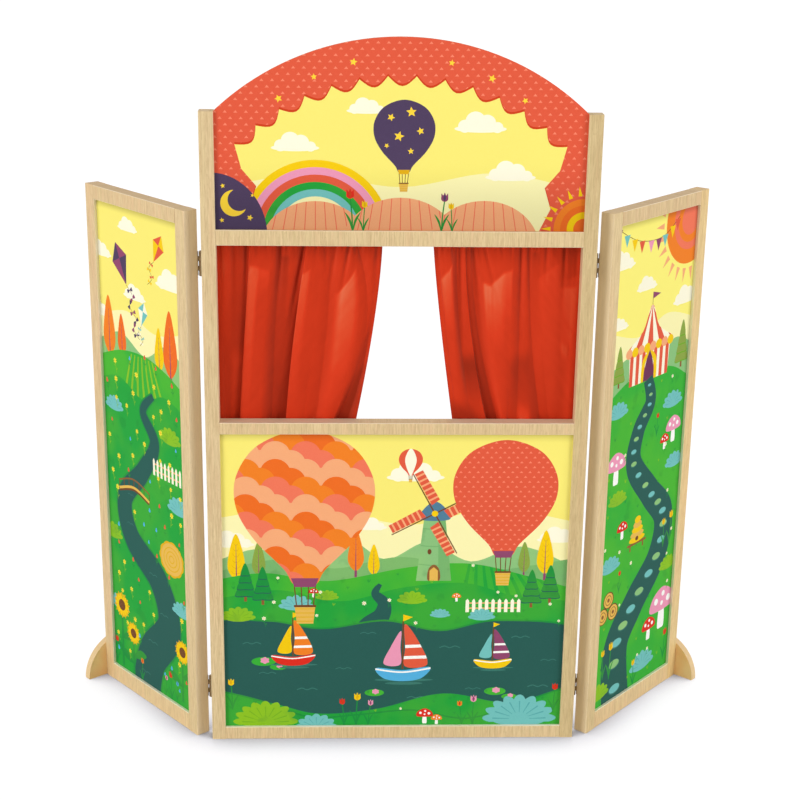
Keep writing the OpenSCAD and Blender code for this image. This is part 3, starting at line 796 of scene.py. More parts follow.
def mushroom(art, x, y, size, cap):
    """A spotted mushroom, x and y at its foot."""
    draw = art.at(x, y, size)
    draw("white", smooth([(-0.14, 0), (-0.1, 0.5), (0.1, 0.5), (0.14, 0), (0, -0.05)], 4))
    draw("rose", ellipse(0, 0.5, 0.46, 0.09))
    hood = draw(cap, smooth([(-0.52, 0.48), (-0.42, 0.82), (0, 1.02), (0.42, 0.82), (0.52, 0.48), (0, 0.42)]))
    for along, up, radius in ((-0.26, 0.7, 0.085), (0.04, 0.84, 0.07), (0.28, 0.66, 0.09), (0.0, 0.6, 0.06)):
        draw("white", ellipse(along, up, radius, count=14), hood)


def kite(art, x, y, size, inks, turn, tail):
    """A kite in patches of two inks, with bows down its tail. The tail's knots are from the kite's foot."""
    foot = moved([(0, -0.62)], x, y, size, turn)[0]
    tail = [foot + Vector(step) for step in tail]
    art.paint("shade_bark", ribbon(tail, 0.8, steps=6))
    corners = [(0, 0.5), (-0.36, 0.08), (0, -0.62), (0.36, 0.08)]
    for index, corner in enumerate(corners):
        art.at(x, y, size, turn)(inks[index % 2], [(0, 0.08), corner, corners[(index + 1) % 4]])
    bow = smooth([(0, 0), (0.11, 0.055), (0.12, 0), (0.11, -0.055)], 2)
    for index, point in enumerate(smooth(tail, 6, closed=False)[3:-1:4]):
        for side in (0, 180):
            art.at(*point, size, turn + side + 20 * (index % 3))(inks[index % 2], bow)


def fence(art, x, y, width, count, height):
    """Pointed pickets on two rails, x and y at the left foot."""
    for level in (0.3, 0.68):
        rail = [(x - 2, y + height * level), (x + width + 2, y + height * level)]
        art.paint("peach", ribbon(rail, height * 0.09, steps=1))
    for index in range(count):
        left = x + width * index / (count - 1)
        picket = [(-1, 0), (1, 0), (1, 0.85), (0, 1), (-1, 0.85)]
        art.paint("cloud", spread(left, y, width / count * 0.3, picket, height))


def bunting(art, knots, count, size, inks):
    """Pennants hung along a sagging cord."""
    line = smooth(knots, 16, closed=False)
    art.paint("shade_bark", ribbon(knots, 1.0, steps=8))
    for index in range(count):
        place = line[int((index + 0.5) / count * (len(line) - 1))]
        art.paint(inks[index % len(inks)], spread(*place, size, [(-0.5, 0), (0, -1.15), (0.5, 0)]))


def star(art, x, y, radius, inside=None):
    """A five-pointed star. Its place also says how it is turned."""
    tips = [(math.radians(90 + 36 * tip), 0.46 if tip % 2 else 1) for tip in range(10)]
    art.at(x, y, radius, x)("star", [(math.cos(a) * reach, math.sin(a) * reach) for a, reach in tips], inside)


def sunburst(art, x, y, radius, rays, rays_ink, rings):
    """A round sun of several rings in a crown of rays."""
    for ray in range(rays):
        art.at(x, y, radius, ray * 360 / rays)(rays_ink, [(1.1, -0.07), (1.42, 0), (1.1, 0.07)])
    art.paint("orange", ellipse(x, y, radius, count=64))
    for ring, ink in rings:
        art.paint(ink, ellipse(x, y, ring, count=48))


def tent(art, x, y, width, height):
    """A striped fair tent with a scalloped eave, x and y at the middle of its foot."""
    wall = height * 0.46
    walls = art.paint("cloud", spread(x, y, width, [(-0.42, 0), (0.42, 0), (0.45, 1), (-0.45, 1)], wall))
    for stripe in range(-3, 4):
        left = x + width * (stripe * 0.13 - 0.033)
        band = [(0, 0), (0.066, 0), (0.07, 1), (-0.004, 1)]
        art.paint("coral", spread(left, y - 2, width, band, wall + 4), walls)
    doorway = [(x - width * 0.11, y - 1), *spread(x, y, width, [(-0.08, 0.5), (0, 0.86), (0.08, 0.5)], wall),
               (x + width * 0.11, y - 1)]
    art.paint("shade_plum", smooth(doorway), walls)
    for side in (-1, 1):
        flap = [(side * 0.12, 0), (side * 0.1, 0.45), (0, 0.9), (side * 0.15, 0.6), (side * 0.17, 0)]
        art.paint("sun", smooth(spread(x, y, width, flap, wall)), walls)
    knots = [(-0.52, 0.4508), (-0.18, 0.68), (0, 1), (0.18, 0.68), (0.52, 0.4508), (0, 0.414)]
    roof = art.paint("coral", smooth(spread(x, y, width, knots, height), 5))
    top = Vector((x, y + height))
    for first in (0, 2, 4, 6):
        left, right = (x + width * (edge / 7 - 0.5) * 1.1 for edge in (first, first + 1))
        art.paint("cloud", [(left, y + wall * 0.8), (right, y + wall * 0.8), top], roof)
    for index in range(8):
        centre = x + width * ((index + 0.5) / 8 - 0.5) * 1.04
        scallop = ellipse(centre, y + wall * 0.96, width * 0.068, width * 0.06, count=20)
        art.paint("sun" if index % 2 else "peach", scallop)
    corners = ((0, height * 0.16), (width * 0.17, height * 0.115), (0, height * 0.07))
    flag = [top + Vector(corner) for corner in corners]
    art.paint("shade_bark", ribbon([top, flag[0]], 1.2, steps=1))
    art.paint("plum", flag)


def bridge(art, x, y, width):
    """A small arched footbridge, x and y at the middle of its deck."""
    rise = width * 0.13
    deck = [(x - width / 2, y - rise), (x, y), (x + width / 2, y - rise)]
    for index in range(7):
        along = (index / 6 - 0.5) * width
        foot = y - rise * (2 * along / width) ** 2
        post = [(x + along, foot - 1), (x + along, foot + width * 0.17)]
        art.paint("shade_bark", ribbon(post, width * 0.022, steps=1))
    for ink, lift, thick in (("bark", 0.16, 0.03), ("shade_bark", -0.03, 0.07), ("straw", 0, 0.05)):
        art.paint(ink, ribbon([(a, b + width * lift) for a, b in deck], width * thick, steps=8))


def beehive(art, x, y, size):
    """A straw skep on a stand, x and y at its foot."""
    art.paint("bark", spread(x, y, size, [(-0.5, 0.16), (0.5, 0.16), (0.5, 0.24), (-0.5, 0.24)]))
    for side in (-0.34, 0.34):
        art.paint("bark", ribbon(spread(x, y, size, [(side, 0), (side, 0.2)]), size * 0.07, steps=1))
    for tier in range(5):
        coil = ellipse(x, y + size * (0.33 + 0.15 * tier), size * (0.42 - 0.065 * tier), size * 0.11)
        art.paint("straw" if tier % 2 else "sun", coil)
    art.paint("shade_bark", ellipse(x, y + size * 0.34, size * 0.08, size * 0.07, count=18))


def logs(art, x, y, size):
    """A stack of three cut logs, x and y at its foot."""
    draw = art.at(x, y, size)
    for along, up in ((-0.34, 0.3), (0.34, 0.3), (0, 0.86)):
        draw("shade_bark", ellipse(along, up, 0.34, 0.33))
        for radius, ink in ((0.29, "straw"), (0.2, "bark"), (0.17, "straw"), (0.08, "bark")):
            draw(ink, ellipse(along, up, radius, count=24))


def waves(art, inside, *rows):
    """Short curled strokes on water, by the left end and width of each."""
    for x, y, width in rows:
        knots = spread(x, y, width, [(0, 0), (0.25, 0.09), (0.5, 0), (0.75, 0.09), (1, 0)])
        art.paint("ripple", ribbon(knots, width * 0.05, steps=4), inside)


# The four scenes


LOWER_SIZE, WING_SIZE, ARCH_SIZE = (556, 514), (235, 833), (556, 287)


def edged(width, height):
    """The outline of a straight printed sheet."""
    right, top = width + MARGIN, height + MARGIN
    return [(-MARGIN, -MARGIN), (right, -MARGIN), (right, top), (-MARGIN, top)]


def draw_lower_scene():
    """Balloons over a lake, below the stage."""
    art = Artwork(edged(*LOWER_SIZE))
    art.ground("haze", (-4, 372), (140, 390), (300, 360), (430, 388), (560, 366))
    art.every(cloud, (262, 436, 92), (200, 352, 64), (505, 330, 70), (-22, 322, 74))
    art.ground("mist", (-4, 300), (60, 318), (120, 292), (196, 336), (262, 300), (330, 330), (400, 296),
               (480, 322), (560, 290))
    art.ground("sage", (-4, 280), (90, 300), (180, 284), (290, 304), (420, 280), (560, 300))
    art.every(poplar, (22, 252, 92, "sun"), (58, 262, 70, "olive"), (214, 268, 84, "orange"),
              (243, 264, 62, "sun"), (520, 262, 88, "sun"), (486, 268, 62, "olive"))
    hill = art.ground("meadow", (-4, 266), (70, 276), (170, 262), (300, 286), (400, 292), (500, 268),
                      (560, 250))
    for row in range(9):
        knots = [(395 + 20 * row, 190), (392 + 17 * row, 245), (398 + 11 * row, 292)]
        art.paint("grass", ribbon(knots, 9, 4), hill)
    windmill(art, 340, 262, 150)
    art.ground("grass", (-4, 232), (90, 246), (190, 226), (290, 250), (390, 258), (470, 236), (560, 226))
    stream = [(254, 256), (246, 240), (260, 222), (256, 200), (236, 180), (226, 156)]
    art.paint("lagoon", ribbon(stream, 6, 44, 10))
    shore = [(-30, 176), (70, 190), (160, 176), (262, 190), (352, 172), (450, 190), (590, 168), (590, 56),
             (470, 40), (360, 58), (250, 30), (150, 22), (60, 44), (-30, 30)]
    art.paint("leaf", moved(smooth(shore, 9), 0, 3))
    lake = art.paint("lagoon", smooth(shore, 9))
    waves(art, lake, (30, 150, 30), (118, 66, 34), (222, 168, 26), (352, 142, 34), (470, 160, 30),
          (300, 50, 30), (500, 70, 34), (56, 96, 28), (396, 66, 26), (182, 104, 26), (520, 118, 26),
          (264, 122, 24))
    for x, y, width in ((64, 118, 20), (88, 108, 14), (446, 62, 18), (470, 52, 13), (246, 60, 16)):
        art.paint("meadow", ellipse(x, y, width, width * 0.4))
        art.paint("rose", lobed(x + 2, y + 2, width * 0.3, width * 0.24, 6, 0.3))
    art.every(conifer, (36, 226, 64, "leaf"), (64, 220, 64, "leaf"), (500, 214, 64, "leaf"),
              (530, 222, 64, "leaf"))
    fence(art, 396, 206, 84, 9, 24)
    art.every(bush, (118, 216, 52), (168, 232, 34, "lime"), (306, 226, 44, "lime"), (24, 196, 50, "lime"),
              (420, 196, 40), (352, 200, 30))
    art.every(boat, (112, 122, 62, "scarlet", "sun", "orange"), (292, 96, 78, "blue", "rose", "coral"),
              (440, 114, 54, "sun", "teal", "plum"))
    bank = [(-4, 62), (60, 44), (140, 14), (220, 18), (310, 26), (400, 10), (480, 36), (560, 66)]
    art.ground("leaf", *[(x, y + 3) for x, y in bank])
    art.ground("grass", *bank)
    art.every(bush, (66, 6, 96, "lime", 9), (488, 10, 110, "teal", 9), (150, -4, 62))
    art.every(tulip, (196, -2, 42, "scarlet", -3), (216, -2, 50, "sun", 2), (236, -2, 40, "rose", 4),
              (392, -2, 38, "orange", -4), (410, -2, 46, "rose", 1), (544, 22, 44, "scarlet", 2),
              (12, 30, 46, "sun", -2))
    art.every(mushroom, (330, 4, 26, "scarlet"), (350, 2, 17, "orange"), (146, 234, 15, "scarlet"),
              (378, 226, 14, "orange"))
    right, left, small = (452, 420, 84), (132, 408, 112), (300, 470, 19)
    triangles(art, balloon(art, *right, "coral"), (366, 540, 300, 508), 5.5)
    skirt(art, *right, "plum")
    inks = ("orange", "peach", "tangerine", "salmon", "peach")
    scales(art, balloon(art, *left, "orange"), (14, 250, 250, 522), 24, inks)
    skirt(art, *left, "plum")
    gores(art, balloon(art, *small, "teal"), *small, ("teal", "cloud", "coral", "cloud"))
    return art


def draw_left_scene():
    """Kites over a flower meadow, on the left wing."""
    art = Artwork(edged(*WING_SIZE))
    art.ground("haze", (-4, 640), (80, 662), (160, 640), (240, 656))
    art.every(cloud, (-26, 742, 66), (62, 796, 58), (168, 722, 86), (72, 686, 66), (-30, 640, 60))
    art.ground("mist", (-4, 600), (60, 622), (130, 596), (190, 626), (240, 606))
    art.every(poplar, (24, 560, 118, "orange"), (62, 572, 82, "tangerine"), (204, 560, 128, "tangerine"),
              (172, 570, 84, "sun"))
    hill = art.ground("meadow", (-4, 572), (60, 592), (130, 596), (190, 582), (240, 560))
    for row in range(7):
        knots = [(60 + 22 * row, 500), (76 + 15 * row, 552), (90 + 10 * row, 592)]
        art.paint("lime", ribbon(knots, 7, 3), hill)
    art.ground("grass", (-4, 532), (50, 544), (120, 520), (180, 540), (240, 524))
    brook = [(150, 534), (118, 500), (150, 452), (110, 392), (52, 330), (70, 262), (150, 206), (176, 130),
             (120, 58), (96, -20)]
    art.paint("leaf", ribbon(brook, 16, 92, 12))
    water = art.paint("lagoon", ribbon(brook, 11, 84, 12))
    waves(art, water, (122, 440, 14), (62, 340, 18), (56, 286, 20), (120, 214, 24), (150, 150, 24),
          (110, 86, 28), (84, 20, 28))
    bridge(art, 82, 356, 92)
    art.every(bush, (30, 486, 50), (196, 470, 56, "lime"), (216, 354, 60), (8, 250, 56, "lime"),
              (216, 172, 52), (20, 118, 54))
    fence(art, 146, 398, 76, 8, 30)
    art.paint("gold", lobed(190, 262, 34, 30, 11, 0.06))
    art.paint("straw", ellipse(190, 262, 31, 28, count=40))
    for radius in (24, 16, 8):
        art.paint("gold", ellipse(190, 262, radius, radius * 0.9))
        art.paint("straw", ellipse(190, 262, radius - 2, (radius - 2) * 0.9))
    art.every(sunflower, (26, 4, 118, 52), (60, -4, 84, 44), (212, 10, 92, 46))
    art.every(tulip, (178, -2, 44, "scarlet", -2), (160, -2, 34, "rose", 3), (194, 2, 32, "blue", 2),
              (6, 2, 44, "scarlet", 1), (86, -4, 38, "orange", 2))
    art.every(
        kite,
        (66, 742, 64, ("night", "plum"), 24, [(0, 0), (18, -16), (8, -34), (26, -52), (18, -70), (34, -84)]),
        (178, 784, 46, ("coral", "sun"), -28, [(0, 0), (-14, -12), (-6, -28), (-20, -40)]),
        (128, 668, 38, ("teal", "cloud"), -14, [(0, 0), (-8, -12), (4, -22), (-6, -34)]),
    )
    return art


def draw_right_scene():
    """A fair tent on a hill, on the right wing."""
    art = Artwork(edged(*WING_SIZE), "noon")
    art.ground("haze", (-4, 660), (80, 640), (160, 664), (240, 644))
    sunburst(art, 214, 812, 74, 26, "peach", ((62, "orange"), (50, "salmon"), (38, "orange"), (26, "salmon")))
    art.every(cloud, (-30, 762, 82), (60, 716, 62), (-12, 664, 54), (176, 672, 80))
    bunting(art, [(-4, 828), (60, 800), (130, 796), (180, 822)], 9, 17,
            ("plum", "teal", "sun", "coral", "rose"))
    art.ground("mist", (-4, 596), (60, 612), (120, 590), (190, 616), (240, 600))
    art.every(conifer, (22, 566, 66, "olive"), (214, 560, 78, "olive"))
    art.ground("meadow", (-4, 548), (50, 570), (120, 578), (190, 566), (240, 540))
    tent(art, 112, 560, 138, 128)
    path = [(112, 562), (124, 520), (92, 476), (84, 420), (140, 356), (190, 300), (176, 226), (110, 160),
            (60, 92), (70, -20)]
    art.paint("lagoon", ribbon(path, 26, 84, 12))
    for index, place in enumerate(smooth(path, 8, closed=False)[3::3]):
        size = 4 + index * 0.42
        art.paint("ripple", ellipse(place.x, place.y, size * 1.35, size * 0.7, count=20))
        stone = ellipse(place.x, place.y + 1, size * 1.2, size * 0.6, count=20)
        art.paint("mist" if index % 2 else "teal", stone)
    art.every(bush, (26, 520, 54), (196, 500, 56), (40, 366, 50, "lime"), (28, 250, 56), (214, 388, 52),
              (216, 196, 50, "lime"), (150, 28, 70), (14, 20, 58, "lime"))
    art.every(mushroom, (204, 432, 44, "rose"), (178, 424, 26, "scarlet"), (30, 402, 52, "rose"),
              (206, 84, 74, "rose"), (166, 74, 40, "scarlet"), (60, 296, 30, "scarlet"))
    beehive(art, 108, 262, 58)
    logs(art, 30, 154, 46)
    art.every(tulip, (196, 238, 44, "sun", -2), (216, 236, 52, "sun", 2), (24, 48, 46, "sun", -2),
              (44, 42, 56, "sun", 2), (150, 452, 34, "scarlet", 1), (124, -4, 44, "sun", -2),
              (222, 12, 50, "scarlet", 2), (60, 196, 34, "scarlet", 0))
    return art


ARCH_MIDDLE = ARCH_SIZE[0] / 2
ARCH_RADIUS = 406.3
ARCH_DROP = 119.3


def arc_point(angle, radius):
    """A point round the arch's centre, which lies below the print."""
    return (ARCH_MIDDLE + radius * math.cos(angle), radius * math.sin(angle) - ARCH_DROP)


def arch_edge(steps=90):
    """The outline of the arched print: straight sides in the posts' grooves under one round top."""
    half = ARCH_MIDDLE + MARGIN
    first = math.degrees(math.acos(half / ARCH_RADIUS))
    turns = [math.radians(first + (180 - 2 * first) * step / steps) for step in range(steps + 1)]
    top = [arc_point(turn, ARCH_RADIUS) for turn in turns]
    return [(-MARGIN, -MARGIN), (ARCH_MIDDLE + half, -MARGIN), *top]


def draw_arch_scene():
    """A starry canopy drawn back from a bright sky, over the stage."""
    art = Artwork(arch_edge(), "coral")
    triangles(art, 0, (-6, 566, -2, 300), 6.2)
    rim = []
    lobes, steps = 13, 8
    for step in range(lobes * steps + 1):
        share = step / (lobes * steps)
        reach = 350 - 15 * abs(math.sin(math.pi * lobes * share))
        rim.append(arc_point(math.radians(45 + 90 * share), reach))
    left = [(40, 92), (62, 66), (52, 34), (70, -4)]
    opening = rim + left + [(ARCH_SIZE[0] - x, y) for x, y in left[::-1]]
    art.paint("ember", moved(opening, 0, 3.2))
    sky = art.paint("sky", opening)
    art.ground("haze", (-4, 62), (140, 84), (278, 66), (420, 88), (560, 60), inside=sky)
    for index, ink in enumerate(("sun", "rose", "coral", "grass", "teal", "haze")):
        art.paint(ink, ellipse(150, -6, 112 - 11 * index, count=72), sky)
    art.every(cloud, (84, 120, 72), (356, 150, 78), (404, 78, 76), (196, 176, 60))
    for x, y, wide, high in ((150, -30, 84, 74), (278, -34, 92, 84), (404, -30, 86, 76)):
        dome = art.paint("peach", ellipse(x, y, wide, high, count=60), sky)
        for shift in range(-4, 5):
            stripe = [(x + shift * 18, y), (x + shift * 13, y + high * 1.1)]
            art.paint("salmon", ribbon(stripe, 1.4, steps=1), dome)
    art.every(tulip, (206, -4, 54, "scarlet", -4), (222, -4, 40, "sun", 2), (340, -4, 50, "plum", 4),
              (356, -4, 38, "sun", -2))
    bag = balloon(art, 282, 150, 46, "night")
    art.every(star, (262, 170, 6, bag), (292, 178, 8, bag), (306, 150, 6, bag), (274, 142, 8, bag),
              (292, 120, 5, bag), (256, 128, 4, bag))
    skirt(art, 282, 150, 46, "gold")
    corner = art.paint("night", ellipse(-6, -10, 84, 96, count=60))
    art.paint("star", ellipse(28, 40, 20, count=40), corner)
    art.paint("night", ellipse(36, 45, 17, count=40), corner)
    art.every(star, (52, 18, 5, corner), (12, 66, 4, corner), (10, 14, 4, corner), (56, 52, 3, corner))
    sunburst(art, 556, 4, 46, 22, "sun", ((36, "tangerine"), (26, "sun"), (16, "tangerine")))
    art.every(star, (96, 196, 6), (148, 228, 5), (206, 250, 6), (350, 250, 5), (410, 228, 6), (460, 196, 5))
    return art


# The printed sheets


# Where the boards lie: half the stage opening, the lowest edges that show, and along a wing from its hinge
POST_EDGE = 0.278
LOWER_FOOT, ARCH_FOOT, WING_FOOT = 0.022, 0.861, 0.031
WING_NEAR, WING_FAR = 0.0275, 0.2625
WING_BOARD_FRONT = 0.023
FILM = 0.00006
# Painted shade beside the left, the right, the foot and the top of a panel: how much darker its print is, and how
# far in
NEAR_WOOD = (0.14, 0.008)
LOWER_PAINTED_SHADE = (NEAR_WOOD, NEAR_WOOD, (0.08, 0.004), (0.24, 0.016))
ARCH_PAINTED_SHADE = (NEAR_WOOD, NEAR_WOOD, (0.26, 0.11), (0, 0.01))
LEFT_PAINTED_SHADE = ((0.30, 0.010), (0.08, 0.004), (0.06, 0.004), (0.34, 0.014))
RIGHT_PAINTED_SHADE = ((0.08, 0.004), (0.30, 0.011), (0.06, 0.004), (0.34, 0.014))


def panel_matrix(corner, across):
    """Where a panel's own axes lie: across it, up it and out towards the audience."""
    across = Vector(across).normalized()
    matrix = Matrix((across, UP, across.cross(UP))).transposed().to_4x4()
    matrix.translation = corner
    return matrix


def centre_panel(node, foot):
    return panel_matrix(Vector((-POST_EDGE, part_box(node)[0].y, foot)), (1, 0, 0))


def wing_panel(side):
    """The left one's lower left corner is at the outer stile, and the right one's at the hinges."""
    turn, pivot = wing_turn(side)
    outwards = Vector((side * math.cos(turn), math.sin(turn), 0))
    across = outwards * side
    start = WING_NEAR if side > 0 else WING_FAR
    corner = pivot + outwards * start + across.cross(UP) * WING_BOARD_FRONT + UP * WING_FOOT
    return panel_matrix(corner, across)


def print_sheet(name, art, matrix, body, slot, ink):
    """The printed film on a board, as one thin closed sheet."""
    points, faces, inks = art.cut()
    used = sorted({corner for face in faces for corner in face})
    place = {corner: index for index, corner in enumerate(used)}
    count = len(used)
    film = [Vector((*points[corner], lift)) for lift in (FILM / MM, 0) for corner in used]
    front = [[place[corner] for corner in face] for face in faces]
    back = [[corner + count for corner in reversed(face)] for face in front]
    sides = {(a, b) for face in front for a, b in zip(face, face[1:] + face[:1])}
    rim = [[b, a, a + count, b + count] for a, b in sides if (b, a) not in sides]
    mesh = bpy.data.meshes.new(name)
    mesh.from_pydata([matrix @ (point * MM) for point in film], [], front + back + rim)
    # Each face's ink is kept on its corners, where the print's finish reads it
    layer = mesh.color_attributes.new("ink", "FLOAT_COLOR", "CORNER")
    for face, name_of_ink in zip(mesh.polygons, inks + inks + ["cloud"] * len(rim)):
        tint = colour(*INKS[name_of_ink])
        for corner in face.loop_indices:
            layer.data[corner].color = tint
    mesh.materials.append(ink)
    sheet = add_object(name, mesh)
    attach(sheet, body)


def hang_prints():
    """Prints and hangs all four scenes. Returns what the flowers need of each."""
    lower, arch = centre_panel("lower_panel", LOWER_FOOT), centre_panel("arched_panel", ARCH_FOOT)
    left, right = wing_panel(-1), wing_panel(1)
    rows = []
    for name, art, matrix, body, slot, size, painted_shade in (
        ("lower_print", draw_lower_scene(), lower, "centre_frame", "lower_print", LOWER_SIZE, LOWER_PAINTED_SHADE),
        ("arch_print", draw_arch_scene(), arch, "centre_frame", "arch_print", ARCH_SIZE, ARCH_PAINTED_SHADE),
        ("left_wing_print", draw_left_scene(), left, "left_wing", "wing_print", WING_SIZE, LEFT_PAINTED_SHADE),
        ("right_wing_print", draw_right_scene(), right, "right_wing", "wing_print", WING_SIZE, RIGHT_PAINTED_SHADE),
    ):
        rows.append((name, art, matrix, body, slot, printed_ink(name + "_ink", matrix, size, painted_shade)))
        print_sheet(*rows[-1])
    return rows


# Printed flowers


def spot(recipe, ink, wide, high, x=0.0, y=0.0, turn=0.0, level=0):
    """A flat six-sided spot of ink in millimetres. Spots that overlap lie on levels of their own."""
    disc = {"Vertices": 6, "Radius": 1.0, "Depth": FILM}
    place = {
        "Geometry": recipe.node("GeometryNodeMeshCylinder", {}, disc, "Mesh"),
        "Translation": (x * MM, y * MM, FILM * (1.3 + 0.35 * level)),
        "Rotation": (0, 0, math.radians(turn)),
        "Scale": (wide * MM / 2, high * MM / 2, 1),
    }
    placed = recipe.node("GeometryNodeTransform", {}, place)
    settings = {"data_type": "FLOAT_COLOR", "domain": "CORNER"}
    inputs = {"Geometry": placed, "Name": "ink", "Value": colour(*INKS[ink])}
    return recipe.node("GeometryNodeStoreNamedAttribute", settings, inputs)


def joined(recipe, parts):
    return recipe.node("GeometryNodeJoinGeometry", {}, {"Geometry": parts})


def daisy(recipe, petal, heart, stem):
    """A six-petalled flower on a leafy stem."""
    parts = [spot(recipe, stem, 0.9, 17, 0, -10)]
    parts += [spot(recipe, stem, 1.1, 5, side * 2.2, -9 - side * 3, -side * 35) for side in (-1, 1)]
    for leaf in range(6):
        angle = math.radians(60 * leaf + 30)
        place = (2.5 * math.cos(angle), 2.5 * math.sin(angle))
        parts.append(spot(recipe, petal, 2.3, 3.6, *place, 60 * leaf - 60, 1))
    return joined(recipe, parts + [spot(recipe, heart, 2.6, 2.6, level=2)])


def bud(recipe, petal, stem):
    """A drop-shaped flower on a forked stem."""
    parts = [spot(recipe, stem, 0.9, 13, 0, -8)]
    parts += [spot(recipe, stem, 1.2, 5, side * 2.0, -8, -side * 38) for side in (-1, 1)]
    parts += [spot(recipe, petal, 5.2, 5.2, level=1), spot(recipe, petal, 3.2, 5.0, 0, 2.2, level=2)]
    return joined(recipe, parts)


def tuft(recipe, ink):
    """Three blades of grass."""
    blades = [spot(recipe, ink, 1.1, 8 - abs(side), side * 2.0, 0, -side * 22) for side in (-1, 0, 1)]
    return joined(recipe, blades)


def flower_bed(name, *kinds):
    """Scatters flowers over the ground of a print, no two nearer than the spacing."""
    recipe = Recipe(name, Spacing=0.03, Seed=1, Smallest=0.8, Largest=1.15)

    def any_of(kind, low, high, seed):
        inputs = {"Min": low, "Max": high, "Seed": seed}
        return recipe.node("FunctionNodeRandomValue", {"data_type": kind}, inputs, "Value")

    sow = {"Mesh": recipe.start, "Distance Min": recipe.start.output("Spacing"), "Density Max": 4000.0,
           "Seed": recipe.start.output("Seed")}
    poisson = {"distribute_method": "POISSON"}
    spots = recipe.node("GeometryNodeDistributePointsOnFaces", poisson, sow, "Points")
    flowers = [kind(recipe, *inks) for kind, *inks in kinds]
    stock = [recipe.node("GeometryNodeGeometryToInstance", {}, {"Geometry": flower}) for flower in flowers]
    size = any_of("FLOAT", recipe.start.output("Smallest"), recipe.start.output("Largest"), 11)
    place = {
        "Points": spots, "Instance": joined(recipe, stock[::-1]), "Pick Instance": True,
        "Instance Index": any_of("INT", 0, len(kinds) - 1, 7),
        "Rotation": recipe.node("ShaderNodeCombineXYZ", {}, {"Z": any_of("FLOAT", -0.2, 0.2, 5)}),
        "Scale": recipe.node("ShaderNodeCombineXYZ", {}, {"X": size, "Y": size, "Z": 1.0}),
    }
    recipe.end(recipe.node("GeometryNodeInstanceOnPoints", {}, place), FINISHES["print"])
    return recipe


def plant(row, recipe, edge, **sizes):
    """Prints a bed of flowers on the open ground of one scene, inside an edge."""
    name, art, matrix, body, slot, ink = row
    points, faces, inks = art.cut(edge)
    ground = bpy.data.meshes.new(name + "_ground")
    open_ground = [face for face, tint in zip(faces, inks) if tint in ("grass", "meadow")]
    ground.from_pydata([Vector((*point, 0)) * MM for point in points], [], open_ground)
    flowers = recipe.make(name.replace("_print", "_flowers"), ground, **sizes)
    flowers.data.transform(matrix)
    flowers.data.materials[0] = ink
    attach(flowers, body)


def plant_flowers(rows):
    lower, _, left, right = rows
    wing_edge = [(9, 12), (226, 12), (226, 820), (9, 820)]
    lower_edge = [(9, 10), (547, 10), (547, 500), (9, 500)]
    yellow = (daisy, "butter", "gold", "lime")
    buds = (bud, "blue", "leaf"), (bud, "coral", "leaf")
    meadow = flower_bed("meadow_flowers", yellow, yellow, yellow, *buds)
    plant(left, meadow, wing_edge, Spacing=0.027, Seed=4, Smallest=0.95, Largest=1.3)
    white = (daisy, "cloud", "sun", "leaf")
    lawn = flower_bed("lawn_flowers", white, (tuft, "leaf"), (tuft, "lime"), (tuft, "leaf"))
    plant(right, lawn, wing_edge, Spacing=0.03, Seed=9, Smallest=0.7, Largest=1.0)
    plant(lower, lawn, lower_edge, Spacing=0.026, Seed=12, Smallest=0.6, Largest=0.95)


# Curtains


# The middle of the rod, and how far from it the cloth passes over
ROD_Y, ROD_Z, ROD_CLEAR = 0.0158, 0.849, 0.0031
RAIL_FOOT, SILL, HEM = 0.837, 0.555, 0.530
# The plane that the folds fall back from, how far back their painted shade is darkest, and the limits of the cloth
CLOTH_FRONT, CLOTH_DEEP, CLOTH_NEAREST, CLOTH_FARTHEST = 0.0138, 0.013, 0.0126, 0.0270
# Beside the post the cloth stays in front of a wing that lies folded behind the frame
CLOTH_BY_POST = 0.0186
CLOTH_THICK = 0.0003
HEM_TURN = 0.008
# From the front layer of a hem to the turned one behind it
LAYER = 0.0009
BEHIND = Vector((0, LAYER, 0))
# The sewing lies this far in from a turning's edge, and this far in front of the cloth
SEAM_INSET, SEAM_CLEAR = 0.001, 0.00025
# Points up a thread, and threads and stitched points from one fold line to the next
COLUMN, THREADS, SEWN = 96, 13, 20
# The rows of points where the turned edge and the whole cloth are measured
HEM_ROW, WIDTH_ROW = 50, 40

# Fold lines after the photograph, from the post to the free edge. Each lies so far across the curtain at the
# rail, halfway down and at the sill, and so many millimetres deep there.
LEFT_FOLDS = (
    ((-0.012, -0.018, -0.020), (2.5, 5.0, 6.0)),
    ((0.085, 0.080, 0.070), (0.3, 4.0, 6.5)),
    ((0.190, 0.173, 0.146), (4.0, 6.5, 7.5)),
    ((0.203, 0.169, 0.143), (0.8, 0.8, 0.3)),
    ((0.335, 0.290, 0.280), (0.8, 1.8, 2.2)),
    ((0.385, 0.365, 0.375), (4.5, 7.0, 10.0)),
    ((0.450, 0.435, 0.430), (1.8, 6.0, 11.0)),
    ((0.537, 0.495, 0.485), (4.5, 8.5, 11.0)),
    ((0.547, 0.491, 0.481), (0.6, 0.5, 0.4)),
    ((0.630, 0.620, 0.610), (1.2, 1.8, 2.6)),
    ((0.690, 0.700, 0.700), (2.8, 3.6, 4.6)),
    ((0.765, 0.795, 0.780), (0.6, 0.0, 0.4)),
    ((0.810, 0.890, 0.830), (1.5, 1.5, 2.0)),
    ((0.840, 0.955, 0.860), (4.5, 3.5, 9.0)),
    ((0.900, 0.978, 0.940), (0.4, 3.5, 8.0)),
    ((1.000, 1.000, 1.000), (3.0, 3.0, 4.0)),
)
